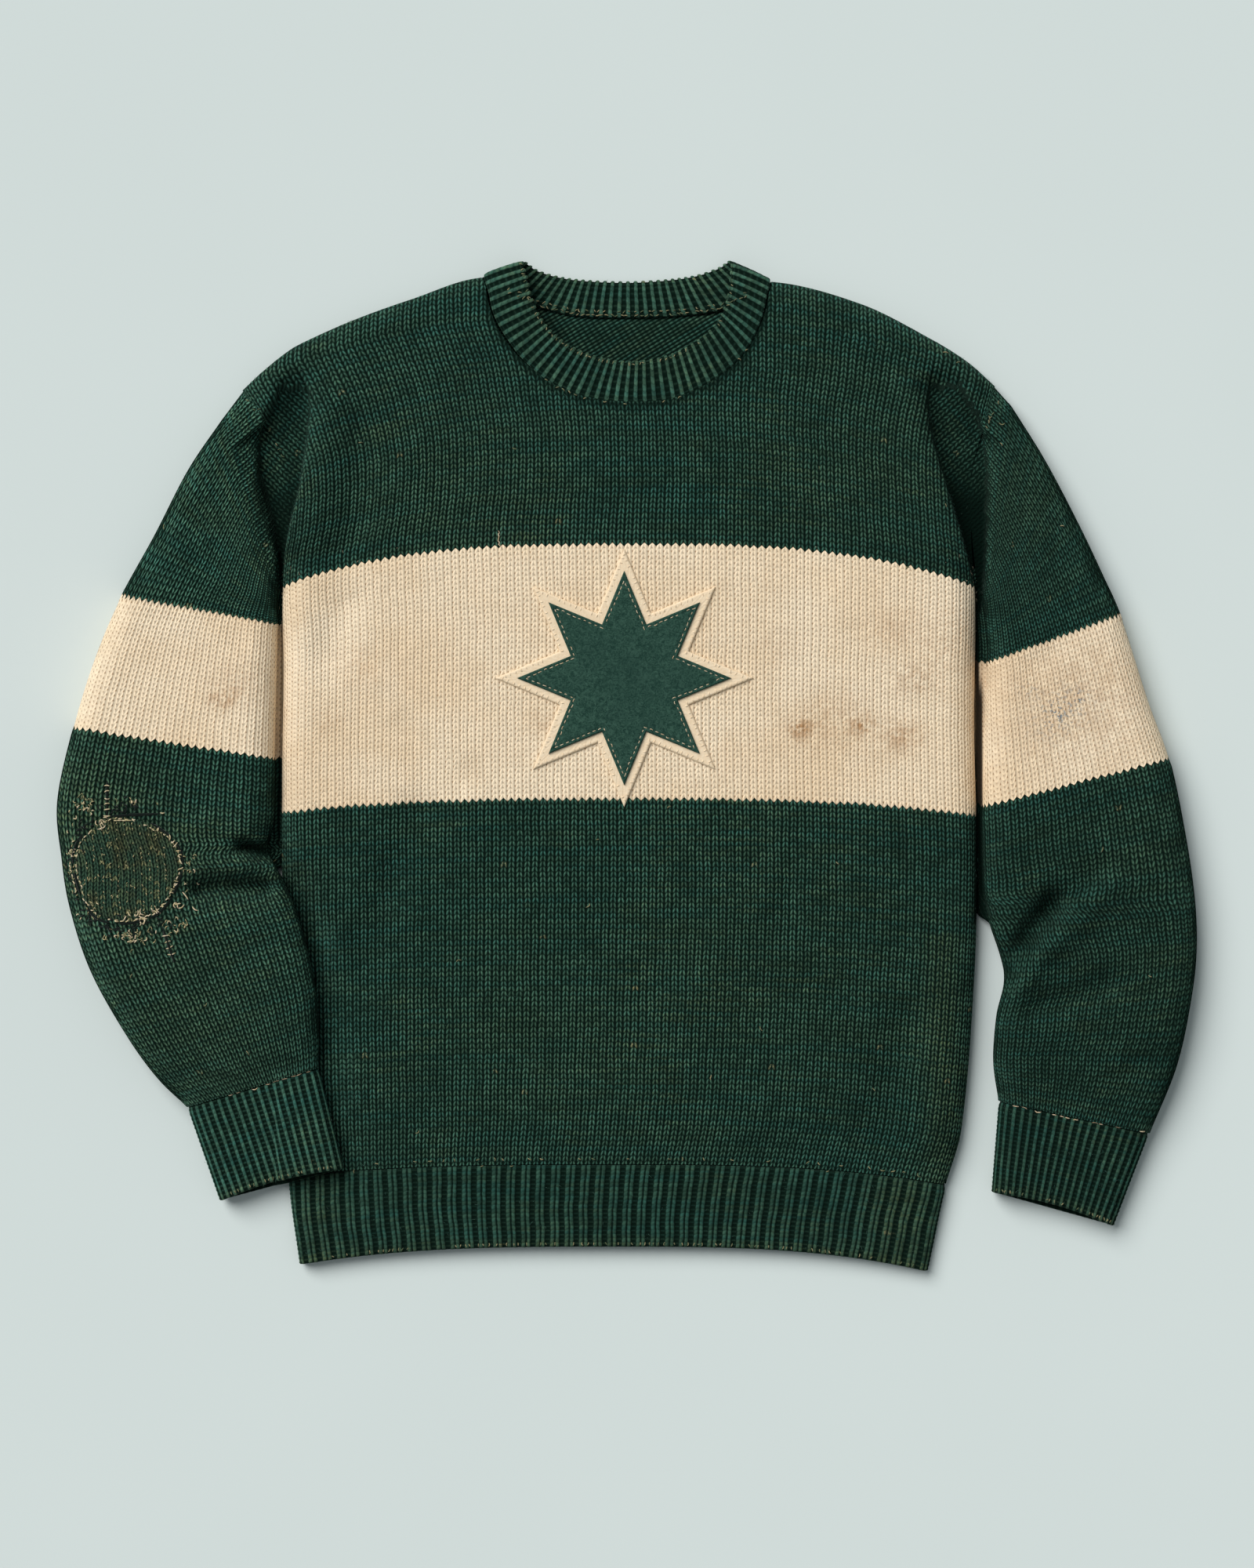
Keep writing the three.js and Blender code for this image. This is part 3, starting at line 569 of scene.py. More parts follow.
# ---- marks on the yarn: stains, wear and painted shade. Each spot is [x, y, radius, strength] ----
BROWN_SPOTS = [
    (123.2, 25.8, 7, 0.9), (168, 28.6, 6, 0.75), (196, 20.2, 11, 0.6), (150, 32, 22, 0.35),
    (-61.6, 31.4, 9, 0.3), (-212.8, 31.4, 8, 0.35), (-288.4, 48.2, 8, 0.6), (-276, 58, 16, 0.3),
    (186, 96, 13, 0.3), (205, 60, 12, 0.35), (-190, 70, 16, 0.2), (108, 84, 12, 0.2),
    (322, 44, 48, 0.35), (232, 92, 26, 0.25),
]
GREY_SPOTS = [
    (322, 48.2, 5, 0.8), (305.2, 37, 6, 0.7), (285.6, 53.8, 5, 0.5), (312, 42, 15, 0.5), (300, 28, 12, 0.35),
]
# Painted shade in the creases at the elbows.
CREASE_PAINTED_SHADE_SPOTS = [
    (-262, -61, 5, 0.9), (-270, -59, 4, 0.7), (-278, -89, 8, 0.4), (-298, -89, 7, 0.3),
    (272, -146, 6, 0.6), (284, -126, 8, 0.5), (298, -106, 8, 0.4),
]
FRONT_WEAR = [(-120, 190, 60, 0.5), (160, 210, 55, 0.5), (90, -150, 90, 0.35), (-80, -200, 80, 0.3)]
SLEEVE_WEAR = {
    -1: [(-360, -80, 60, 1.0), (-395, -20, 40, 0.7), (-325, 170, 70, 0.2), (-310, -190, 60, 0.7)],
    1: [(370, -60, 40, 0.5), (390, -150, 30, 0.4), (290, 190, 40, 0.4)],
}
# RIGHT_SLIT is the route of painted shade in the slit between the right sleeve and the body, and CREASE how
# far painted shade spreads from a seam or slit.
RIGHT_SLIT = [(250.5, 132), (251.5, 60), (252, -20), (250, -112)]
SPOT_STRETCH = 1.25  # spots run this much further across than up
CREASE = 2.6  # how far the darkness of a seam or slit spreads


def spots(places, x, y):
    total = np.zeros(np.shape(x))
    for px, py, radius, strength in places:
        total += strength * bell(np.hypot((x - px) / SPOT_STRETCH, y - py), radius)
    return total


# Marks at points: brown stain, grey stain and wear, with painted shade in the alpha.
def mark_colours(points, wear):
    x, y, z = np.moveaxis(points, -1, 0)
    marks = no_marks(x.shape)
    marks[..., 0] = spots(BROWN_SPOTS, x, y)
    marks[..., 1] = spots(GREY_SPOTS, x, y)
    marks[..., 2] = wear
    round_darn = np.hypot(x - DARN_CENTRE[0], y - DARN_CENTRE[1]) - 1.04 * DARN_RADIUS
    # Painted shade in the elbow creases, and a thin ring of painted shadow along the darn's edge.
    dark = spots(CREASE_PAINTED_SHADE_SPOTS, x, y) + 0.65 * bell(round_darn, 2.2) * (x < -290)
    # Painted shade on the bottoms of the armhole valleys, growing darker downwards from y 232.
    dark = dark + (in_valley(x, y) != 0) * (0.3 + 0.6 * ease((232 - y) / 50))
    # Painted shade: the green grows darker towards the right, the side away from the light, except across the
    # band of the cream stripe.
    dark = dark + 0.12 * ease(x / 200) * (1 - ease((y + 50) / 20) * ease((135 - y) / 20))
    # Painted shade along the slit between the right sleeve and the body.
    dark = dark + bell(route_distance(x, y, RIGHT_SLIT), CREASE)
    # The alpha holds the painted shade, here together with the painted shade in the slits beside the sleeves.
    marks[..., 3] = np.clip(np.maximum(dark, painted_slit_shade(x, y, z)), 0, 1)
    return marks


def painted_slit_shade(x, y, z):
    """Painted shade: 1 in the narrow slits where a sleeve's underside lies against the body's side."""
    beside_left = ease((x + 285) / 12) * ease((-x - 244) / 6) * ease((y + 90) / 14)
    beside_left = beside_left * (0.3 + 0.7 * ease((y - 90) / 20))
    beside_right = ease((x - 246) / 6) * ease((287 - x) / 12) * ease((y + 125) / 14)
    return np.maximum(beside_left, beside_right) * ease((10 - z) / 4) * ease((100 - y) / 60) * (z > 1.2)


# ---- knitted panels ----
def body_shares():
    """Shares across the front at which its columns stand, evenly along its curved section."""
    fine = np.linspace(0, 1, 2001)
    section = body_point(fine, np.zeros_like(fine), "top")
    length = run_of(section)
    wales = round(length[-1] / WALE)
    return np.interp(np.linspace(0, length[-1], wales * COLUMNS_PER_WALE + 1), length, fine), wales


ABOVE_BODY = 420.0  # a course higher than any edge


def top_courses(shares, neck):
    """The course at which each column reaches the panel's top edge."""
    low, high = np.zeros_like(shares), np.full_like(shares, ABOVE_BODY)
    for _ in range(40):
        middle = (low + high) / 2
        x, y = body_plan(shares, middle)
        edge = np.where(np.abs(x) < NECK_HALF, along(neck, x), along(SHOULDERS, x))
        low, high = np.where(y < edge, middle, low), np.where(y < edge, high, middle)
    return low


def tucked_courses(shares, neck):
    """The course at which each column ends, a little past the neck's seam."""
    ends = top_courses(shares, neck)
    return ends + NECK_TUCK * (np.abs(body_plan(shares, ends)[0]) < NECK_HALF - 1)


SHARE_STEP, COURSE_STEP = 1e-4, 0.1  # steps between which the body's slopes are measured


def body_grid(shares, courses, face):
    """Points and outward normals of the body's outer face."""
    points = body_point(shares, courses, face, SEAM_GAP)
    inside = np.clip(shares, SHARE_STEP, 1 - SHARE_STEP)

    def change(share_step, course_step):
        ahead = body_point(inside + share_step, courses + course_step, face, SEAM_GAP)
        return ahead - body_point(inside - share_step, courses - course_step, face, SEAM_GAP)

    normals = np.cross(change(SHARE_STEP, 0), change(0, COURSE_STEP)) * (1 if face == "top" else -1)
    return points, unit(normals, 1e-12)


def edge_fade(distance, width):
    """Relief dies away at an edge that is sewn to another piece."""
    return ease(distance / width)


def stripe_softness(above, below):
    """The cream yarn's stitches stand less deep than the green's. Both distances are in courses."""
    return 1 - 0.68 * ease(above + 0.5) * ease(below + 0.5)


def front_panel():
    """The front in stitches, with a vertex row for each course and six columns for each wale."""
    shares, wales = body_shares()
    start = HEM_SEAM_Y + SEAM_GAP
    ends = tucked_courses(shares, FRONT_NECK)
    last_row = np.ceil((ends - start) / COURSE).astype(int)
    rows = last_row.max() + 1
    courses = np.minimum(start + COURSE * np.arange(rows)[:, None], ends)
    points, normals = body_grid(np.broadcast_to(shares, courses.shape), courses, "top")
    wale = np.broadcast_to(np.arange(len(shares)) / COLUMNS_PER_WALE, courses.shape)
    tuck = np.minimum.reduce([courses - start, ends - courses, 3 * WALE * wale, 3 * WALE * (wales - wale)])
    height = wale_relief(wale) * edge_fade(tuck, 4) - SEWN_IN * (1 - edge_fade(courses - start, 5))
    x, y = points[..., 0], points[..., 1]
    above, below = (courses - BODY_STRIPE[0]) / COURSE, (BODY_STRIPE[1] - courses) / COURSE
    height = height * stripe_softness(above, below)
    points = points + normals * (height * (in_valley(x, y) == 0))[..., None]
    uv = valley_uv(np.stack([wale, (courses - start) / COURSE], -1), x, y, FRONT_VALLEY_COURSE)
    worn_side = bell(225 - points[..., 0], 14) * (points[..., 1] < -120)
    marks = mark_colours(points, spots(FRONT_WEAR, points[..., 0], points[..., 1]) + worn_side)
    # Painted shadow along the front panel's seam with the raised neckband.
    seam = route_distance(x, y, FRONT_NECK[1:-1])
    marks[..., 3] = np.maximum(marks[..., 3], 0.85 * bell(seam, CREASE))
    return grid_mesh("front_panel.knit", points, uv, last_row=last_row, marks=marks)


def back_panel():
    """A wall with both its faces: the flat underside, and the inside that shows in the neck."""
    start = HEM_SEAM_Y + SEAM_GAP
    shares = np.linspace(0, 1, 249)
    ends = tucked_courses(shares, BACK_NECK)
    t = np.linspace(0, 1, 121)[:, None]
    courses = mix(start, ends, t)
    wide = np.broadcast_to(shares, courses.shape)
    outer, normals = body_grid(wide, courses, "bottom")
    rim = 60 * np.minimum(np.minimum(t, 1 - t), np.minimum(wide, 1 - wide))
    inner = outer - normals * (KNIT * rise(rim, 0.6))[..., None]
    uv = np.stack([wide * BACK_WALES, (courses - start) / COURSE], -1)
    outer_part = grid_mesh("back_panel.knit", outer, uv, flip=True, marks=mark_colours(outer, 0))
    inner_part = grid_mesh("back_panel.inside", inner, uv, marks=mark_colours(inner, 0))
    return outer_part, inner_part


def lean(points, side):
    """How far a sleeve's underside spreads to the body that it lies against."""
    x, y, z = np.moveaxis(points, -1, 0)
    edge = np.where(side < 0, body_left(y), body_right(y)) + side * 0.5
    reach, end = (26, -84) if side < 0 else (34, -118)  # how far out, and down to which y
    near = ease((reach - np.abs(x - edge)) / 6)
    low = ease((9 - z) / 5)
    return (x - edge) * near * low * ease((y - end) / 14)


def numbered(stations):
    return np.array([[i, *values] for i, values in enumerate(stations)], float)


def sleeve_rings(side, samples=360):
    """Dense rings of a sleeve from the armhole to the cuff's seam, and the courses at its stripe's ends."""
    knots = numbered(SLEEVES[side])
    fine = np.linspace(0, len(knots) - 1, 1201)
    middle = along(knots, fine)
    line = np.stack([(middle[:, 0] + middle[:, 2]) / 2, (middle[:, 1] + middle[:, 3]) / 2], -1)
    length = run_of(line)
    courses = int(length[-1] / COURSE)
    places = np.interp(np.linspace(0, length[-1], courses + 1), length, fine)
    share, upper = ring_places(samples)
    rings = sleeve_point(along(knots, places)[:, None, :], share, upper, SLEEVE_FOLDS[side], side < 0)
    rings[..., 0] -= lean(rings, side)
    armhole = armhole_ring(side, samples)
    cap = [mix(armhole, rings[0], t) for t in np.linspace(0, 1, CAP_ROWS, endpoint=False)]
    stripe = [np.interp(station, places, np.arange(courses + 1)) for station in STRIPES[side]]
    rings = np.concatenate([cap, rings])
    rings[..., 2] = np.where(upper, sink(rings[..., 0], rings[..., 1], rings[..., 2]), rings[..., 2])
    return rings, stripe


def sleeve(side, name):
    """A sleeve's knit and the courses of it between which its stripe lies."""
    dense, stripe = sleeve_rings(side)
    points = even_rings(dense, SLEEVE_WALES * COLUMNS_PER_WALE)
    normals = grid_normals(points, ring=True) * -side
    rows = len(points)
    row = np.arange(rows)[:, None]
    cap = np.linalg.norm(np.diff(points[: CAP_ROWS + 1], axis=0), axis=-1) / COURSE
    course = np.broadcast_to(row - CAP_ROWS, points.shape[:2]).astype(float).copy()
    course[:CAP_ROWS] = -np.cumsum(cap[::-1], axis=0)[::-1]
    wale = np.broadcast_to(np.arange(points.shape[1]) / COLUMNS_PER_WALE, course.shape)
    sewn = edge_fade(row, 3) * edge_fade(rows - 1 - row, 2.5)
    height = wale_relief(wale) * sewn - SEWN_IN * (1 - sewn)
    height = height * stripe_softness(course - stripe[0], stripe[1] - course)
    x, y = points[..., 0], points[..., 1]
    bottom = in_valley(x, y) * (np.arange(points.shape[1]) < points.shape[1] * 0.6)
    points = points + normals * (height * (bottom == 0))[..., None]
    uv = np.stack([wale, course], -1)
    uv = np.where((bottom != 0)[..., None], valley_uv(uv, x, y, SLEEVE_VALLEY_COURSE), uv)
    uv = once_round(uv, SLEEVE_WALES)
    uv[:, -1] = np.where(bottom[:, :1] != 0, uv[:, 0], uv[:, -1])
    wear = spots(SLEEVE_WEAR[side], x, y)
    piece = grid_mesh(name, points, uv, ring=True, flip=side > 0, marks=mark_colours(points, wear))
    return piece, stripe


# ---- ribbed bands ----
def band_rows(courses):
    """Rows of a ribbed tube: down its outside, round the edge and back up inside. Each row is
    [share of the way down, share of the wall inwards, how much relief]."""
    fine = 2
    rows = [[i / (courses * fine), 0, ease(i / 3)] for i in range(courses * fine + 1)]
    for turn in (0.25, 0.5, 0.75, 1):
        rows.append([1 + 0.02 * math.sin(math.pi * turn), (1 - math.cos(math.pi * turn)) / 2, 1 - 0.7 * turn])
    rows += [[1 - i / courses, 1, 0.3] for i in range(2, courses, 2)]
    return np.array(rows)


FACING_RINGS = 8  # coarse steps down a band between which the way it faces is mixed


def ribbed_tube(name, ring_at, ribs, columns_per_rib, courses, cords, side, wear):
    """A band knitted in rib. ring_at gives the dense ring at a share of the way down."""
    rows = band_rows(courses)
    rings = np.stack([ring_at(t) for t in rows[:, 0]])
    points = even_rings(rings, ribs * columns_per_rib)
    coarse = np.stack([ring_at(t) for t in np.linspace(0, 1, FACING_RINGS + 1)])
    normals = grid_normals(even_rings(coarse, ribs * columns_per_rib), ring=True)
    place = np.clip(rows[:, 0], 0, 1) * FACING_RINGS
    low = np.clip(place.astype(int), 0, FACING_RINGS - 1)
    facing = mix(normals[low], normals[low + 1], (place - low)[:, None, None]) * side
    facing /= np.linalg.norm(facing, axis=-1, keepdims=True)
    u = np.broadcast_to(np.arange(points.shape[1]) / columns_per_rib, points.shape[:2])
    v = np.broadcast_to((rows[:, 0] * courses)[:, None], u.shape)
    height = rib_relief(u, v, RIB_DEPTH, cords) * rows[:, 2:3] - RIB * rows[:, 1:2]
    height = height - 0.8 * (1 - ease(v / 1.6)) * (rows[:, 1:2] == 0)
    points = points + facing * height[..., None]
    uv = once_round(np.stack([u, v], -1), ribs)
    marks = mark_colours(points, wear(points, v / courses))
    # Painted shade on the tube's inner wall, the part of the band turned inside.
    marks[..., 3] = np.maximum(marks[..., 3], 0.92 * ease(2 * rows[:, 1:2] - 0.6))
    return closed_mesh(name, points, np.concatenate([uv, uv[-1:]]), marks, flip=side < 0)


def hem_ring(t, samples=1400):
    share, upper = ring_places(samples)
    course = np.full(samples, mix(HEM_SEAM_Y, HEM_EDGE_Y, t))
    return np.where(upper[:, None], body_point(share, course, "top"), body_point(share, course, "bottom"))


def cuff_ring(side):
    seam, edge = np.array([SLEEVES[side][-1], CUFF_EDGES[side]], float)

    def ring(t, samples=400):
        station = mix(seam, edge, t)
        share, upper = ring_places(samples)
        return sleeve_point(station, share, upper, over_body=side < 0, bow=CUFF_MOUTH_BOW * min(t, 1))

    return ring


def edge_wear(points, down):
    return 0.9 * ease((down - 0.86) / 0.14)


def hem_wear(points, down):
    x = points[..., 0]
    return edge_wear(points, down) + 0.9 * bell(x - 196, 26) + 0.6 * bell(x + 222, 16)


def neckband_lines():
    """Seam and opening points of the neckband, evenly round it."""
    count = len(NECKBAND)
    knots = [[i, *NECKBAND[i % count]] for i in range(-3, count + 4)]
    fine = np.linspace(0, count, 4001)
    values = along(knots, fine)
    middle = (values[:, :3] + values[:, 3:]) / 2
    length = run_of(middle)
    columns = BAND_RIBS * BAND_COLUMNS
    return along(knots, np.interp(np.arange(columns) / columns * length[-1], length, fine))


def neckband():
    """The folded collar, ribbed on both faces, its cross-section drawn round each place of the band."""
    values = neckband_lines()
    seam, opening = values[:, :3], values[:, 3:]
    across = opening - seam
    middle = seam + opening
    around = np.roll(middle, -1, 0) - np.roll(middle, 1, 0)
    normal = np.cross(around, across)
    normal /= np.linalg.norm(normal, axis=-1, keepdims=True)
    width = np.linalg.norm(across, axis=-1, keepdims=True)
    out = across / width
    turn = np.arange(BAND_ROUND) / BAND_ROUND * 2 * math.pi
    share = (1 - np.cos(turn)) / 2
    height = np.sign(np.sin(turn)) * np.abs(np.sin(turn)) ** 0.55
    columns = len(values)
    u = np.arange(columns) / BAND_COLUMNS
    half = BAND / 2 - 0.5
    points = np.empty((BAND_ROUND, columns, 3))
    for r in range(BAND_ROUND):
        base = seam + across * share[r] + normal * (half * height[r])
        facing = normal * height[r] + out * (-math.cos(turn[r])) * (1 - abs(height[r]))
        facing /= np.linalg.norm(facing, axis=-1, keepdims=True)
        fade = ease(share[r] / 0.14)
        relief = rib_relief(u, share[r] * BAND_COURSES, 1.3, COLLAR_CORDS) * fade - 0.2 * (1 - fade)
        points[r] = base + facing * relief[:, None]
    wide = np.broadcast_to(u, (BAND_ROUND, columns))
    v = np.broadcast_to((turn / math.pi * BAND_COURSES)[:, None], wide.shape)
    uv = once_round(np.stack([wide, v], -1), BAND_RIBS)
    uv = np.concatenate([uv, uv[:1] + [0, 2 * BAND_COURSES]], 0)
    fold = bell(share - 1, 0.09)[:, None]
    marks = mark_colours(points, 0.25 + 0.7 * fold)
    return closed_mesh("neckband.rib", points, uv, marks, flip=True)


# ---- felt star ----
def star_corners(reach):
    turn = math.pi * np.arange(2 * STAR_POINTS + 1) / STAR_POINTS + math.pi / 2
    radius = reach * np.where(np.arange(len(turn)) % 2, STAR_NOTCH, 1)
    return STAR_CENTRE + radius[:, None] * np.stack([np.cos(turn), np.sin(turn)], -1)


def star_outline(reach, per_edge):
    corners = star_corners(reach)
    t = np.arange(per_edge) / per_edge
    edges = [mix(a, b, t[:, None]) for a, b in zip(corners[:-1], corners[1:])]
    return np.concatenate(edges)


def star_layer(name, reach, low, puff, relief):
    """One layer of the star: its top face, its soft edge and a flat rim turned under it. low is how far
    its underside lies above the knit, puff the radius of its edge."""
    outline = star_outline(reach, STAR_EDGE_COLUMNS)
    columns = len(outline)
    edge_length = np.linalg.norm(star_corners(reach)[1] - star_corners(reach)[0])
    place = np.arange(columns) / STAR_EDGE_COLUMNS * edge_length
    share = 1 - (1 - np.linspace(0, 1, STAR_RINGS)) ** 1.6
    plan = STAR_CENTRE + share[:, None, None] * (outline - STAR_CENTRE)
    inset = (1 - share)[:, None] * reach * math.sin(math.pi / STAR_POINTS) + 0 * place
    rounded = rise(inset, puff)
    height = low + FELT * rounded + relief(plan, inset, place)
    z = loft(plan[..., 0], plan[..., 1]) + height
    points = np.concatenate([plan, z[..., None]], -1)
    rim = points[-1] - [0, 0, 0.3]
    under = rim.copy()
    under[:, :2] = STAR_CENTRE + 0.97 * (rim[:, :2] - STAR_CENTRE)
    under[:, 2] = loft(under[:, 0], under[:, 1]) + low
    points = np.concatenate([points, rim[None], under[None]])
    uv = np.zeros((len(points), columns + 1, 2))
    uv[..., 0] = np.arange(columns + 1) / columns * 100
    uv[..., 1] = np.arange(len(points))[:, None]
    return grid_mesh(name, points, uv, ring=True, flip=True, marks=no_marks(points.shape[:2]))


def border_relief(plan, inset, place):
    """Dents across the border where the backing was whipped down."""
    dent = bell((place / STITCH_PITCH) % 1 - 0.5, 0.13)
    return -0.35 * dent * bell(inset - 3, 3)


def felt_relief(plan, inset, place):
    x, y = plan[..., 0], plan[..., 1]
    lumps = 0.09 * np.sin(0.9 * x + 2.1 * np.sin(0.31 * y)) * np.sin(1.1 * y + 1.7 * np.sin(0.27 * x))
    return lumps - 0.45 * bell(inset - SEWN_INSET, 0.9)


# ---- darn ----
def darn_patch(drop_to):
    """The darn's uneven disc, laid on the sleeve that drop_to finds under it."""
    rings, sides = 44, 150
    share = np.linspace(0, 1, rings)[:, None]
    turn = np.arange(sides) / sides * 2 * math.pi
    uneven = 1 + 0.025 * np.sin(3 * turn + 1) + 0.02 * np.sin(7 * turn) + 0.015 * np.sin(13 * turn + 2)
    x = DARN_CENTRE[0] + DARN_RADIUS * share * uneven * np.cos(turn)
    y = DARN_CENTRE[1] + DARN_RADIUS * share * uneven * np.sin(turn)
    base, normals = drop_to(x, y)
    u, v = (x + 0.14 * y + 1.6 * np.sin(0.11 * y)) / 4.3, (y + 1.4 * np.sin(0.13 * x)) / 3.1
    weave = 0.3 * np.cos(2 * math.pi * u) + 0.12 * np.cos(2 * math.pi * (v + 0.5 * np.floor(u)))
    inset = (1 - share) * DARN_RADIUS + 0 * x
    height = 1.1 * rise(inset, 2.2) + weave * edge_fade(inset, 3) - 0.25
    points = base + normals * height[..., None]
    uv = once_round(np.stack([u, v], -1), 0)
    return grid_mesh("elbow_darn.weave", points, uv, ring=True, marks=no_marks(x.shape))


# ---- threads: many short tubes in one mesh ----
NEARLY_UP = [0.13, 0.21, 0.97]  # no thread runs this way


def tubes(name, paths, radius, sides=5, taper=0.35):
    """A joined mesh of closed tubes along paths, tubes x points x 3, which thin towards their ends."""
    paths = np.asarray(paths, float)
    count, steps = paths.shape[:2]
    tangent = unit(np.gradient(paths, axis=1))
    aside = unit(np.cross(tangent, NEARLY_UP))
    up = np.cross(aside, tangent)
    turn = np.arange(sides) / sides * 2 * math.pi
    thick = 1 - (1 - taper) * np.abs(np.linspace(-1, 1, steps)) ** 4
    radius = np.broadcast_to(radius, (count,))[:, None] * thick
    around = aside[:, :, None] * np.cos(turn)[:, None] + up[:, :, None] * np.sin(turn)[:, None]
    points = paths[:, :, None] + radius[..., None, None] * around
    verts = np.concatenate([points.reshape(count, -1, 3), paths[:, :1], paths[:, -1:]], 1)
    size = steps * sides + 2
    faces = []
    for s in range(steps - 1):
        for k in range(sides):
            a, b = s * sides + k, s * sides + (k + 1) % sides
            faces.append([a, b, b + sides, a + sides])
    for k in range(sides):
        a, b = k, (k + 1) % sides
        faces.append([b, a, steps * sides, steps * sides])
        faces.append([(steps - 1) * sides + a, (steps - 1) * sides + b, size - 1, size - 1])
    faces = (np.array(faces)[None] + size * np.arange(count)[:, None, None]).reshape(-1, 4)
    return make_mesh(name, verts.reshape(-1, 3), faces)


class Surface:
    """The upper surface of finished pieces, to lay threads on."""

    def __init__(self, pieces):
        verts, faces, offset = [], [], 0
        for piece in pieces:
            mesh = piece.data
            co = np.empty(len(mesh.vertices) * 3, np.float32)
            mesh.vertices.foreach_get("co", co)
            verts.append(co.reshape(-1, 3))
            mesh.calc_loop_triangles()
            tri = np.empty(len(mesh.loop_triangles) * 3, np.int32)
            mesh.loop_triangles.foreach_get("vertices", tri)
            faces.append(tri.reshape(-1, 3) + offset)
            offset += len(mesh.vertices)
        self.tree = BVHTree.FromPolygons(np.concatenate(verts).tolist(), np.concatenate(faces).tolist())

    def drop(self, x, y):
        """Points of the surface under x, y, and its normals there. Off the garment, z is 0."""
        x, y = np.broadcast_arrays(x, y)
        points, normals = np.zeros((x.size, 3)), np.tile([0.0, 0.0, 1.0], (x.size, 1))
        for i, (px, py) in enumerate(zip(x.ravel(), y.ravel())):
            place, normal, _, _ = self.tree.ray_cast(Vector((px * MM, py * MM, 0.2)), Vector((0, 0, -1)))
            points[i] = (px, py, 0) if place is None else np.array(place) / MM
            if normal is not None and normal.z > 0.05:
                normals[i] = normal
        return points.reshape(*x.shape, 3), normals.reshape(*x.shape, 3)


def stitches_along(surface, route, pitch, length, lift_by, swing=0.0, skip=0.0, jitter=0.3, across=False):
    """Short stitches at even steps along a route of plan points, following it or crossing it."""
    route = np.asarray(route, float)
    run = run_of(route)
    places = np.arange(pitch / 2, run[-1], pitch)
    places = places + random.uniform(-jitter, jitter, len(places)) * pitch
    places = places[random.uniform(size=len(places)) >= skip]
    middle = at_run(route, run, places)
    way = unit(at_run(route, run, places + 0.5) - middle)
    if across:
        way = np.stack([-way[:, 1], way[:, 0]], -1)
    turn = random.normal(0, swing, len(places))
    way = np.stack([way[:, 0] * np.cos(turn) - way[:, 1] * np.sin(turn),
                    way[:, 0] * np.sin(turn) + way[:, 1] * np.cos(turn)], -1)
    size = length * random.uniform(0.75, 1.25, len(places))
    return laid_threads(surface, middle, way, size, lift_by)


def laid_threads(surface, middle, way, size, lift_by, steps=6, curl=0.12):
    """Paths of threads that rise from the surface in the middle and dive in at both ends."""
    t = np.linspace(-0.5, 0.5, steps)
    side = np.stack([-way[:, 1], way[:, 0]], -1)
    bend = curl * size * random.normal(0, 1, len(size))
    plan = middle[:, None] + way[:, None] * (t[:, None] * size[:, None, None])
    plan = plan + side[:, None] * (bend[:, None] * (0.25 - t**2) * 4)[..., None]
    base, normals = surface.drop(plan[..., 0], plan[..., 1])
    arch = lift_by * (1 - (2 * np.abs(t)) ** 2.5) - 0.25
    on_cloth = base[..., 2].min(1) > 0.5
    over_an_edge = np.abs(np.diff(base[..., 2], axis=1)).max(1) > 1.4
    return (base + normals * arch[:, None])[on_cloth & ~over_an_edge]


# Rings of stitches round the darn: [radius, from degrees, to degrees, pitch, length, crossing, skip].
DARN_RINGS = [
    (36.5, 100, 262, 3.7, 2.5, False, 0.12), (41.5, 150, 212, 3.8, 2.6, False, 0.25),
    (37.5, -62, 58, 4.3, 4.6, True, 0.15), (37.0, -50, 48, 3.9, 2.4, False, 0.3),
    (37, 258, 325, 3.4, 3.0, False, 0.15), (35.5, 50, 100, 4.2, 2.6, False, 0.3),
    (34, 262, 310, 4.4, 2.6, True, 0.4),
]
# Straight rows of stitches of the darn: [from, to, pitch, length, crossing].
DARN_ROWS = [
    ((-369.6, -13), (-369.6, -38), 4.2, 5.2, True), ((-365, -39.5), (-349, -39), 3.2, 3.6, False),
    ((-328.5, -119), (-322.5, -137), 4.4, 5.6, True), ((-316, -91), (-310, -97), 6.5, 7.5, False),
    ((-309, -99), (-305, -104), 6.0, 6.5, False), ((-332, -34), (-328, -33.5), 4.0, 3.4, False),
]
# Clumps where the wool was fastened off: [x, y, spread, threads].
DARN_CLUMPS = [(-375, -41, 3.2, 6), (-345, -110, 3.8, 8), (-321, -99, 3.0, 6), (-353, -108, 3.0, 4)]
# Fields of loose, curved little stitches: [x, y, spread in x, spread in y, how many].
DARN_FIELDS = [
    (-386, -29, 8, 6, 26), (-352, -26, 9, 3.5, 9), (-352, -121, 17, 6, 42), (-320, -113, 6, 6, 14),
    (-311, -76, 4, 14, 16), (-396, -66, 3.5, 22, 30), (-383, -104, 8, 8, 14),
]
# Routes of near-black thread laid as painted shadow in the darn's slits.
DARN_GAPS = [
    ((-369.6, -11), (-369.6, -37)), ((-368, -36.2), (-350, -35.2), (-332, -34.6)),
    ((-330, -115), (-326, -127), (-321.5, -140)), ((-369.5, -114), (-366.5, -119)),
]
# Gaps round the darn, where near-black thread is laid as painted shadow: the degrees at which each arc
# starts, how far it turns and its radius.
DARN_GAP_ARCS = (-58, -28, 4, 36, 148, 182, 226, 262, 296)
GAP_TURN = 26
GAP_RADIUS = 38.8
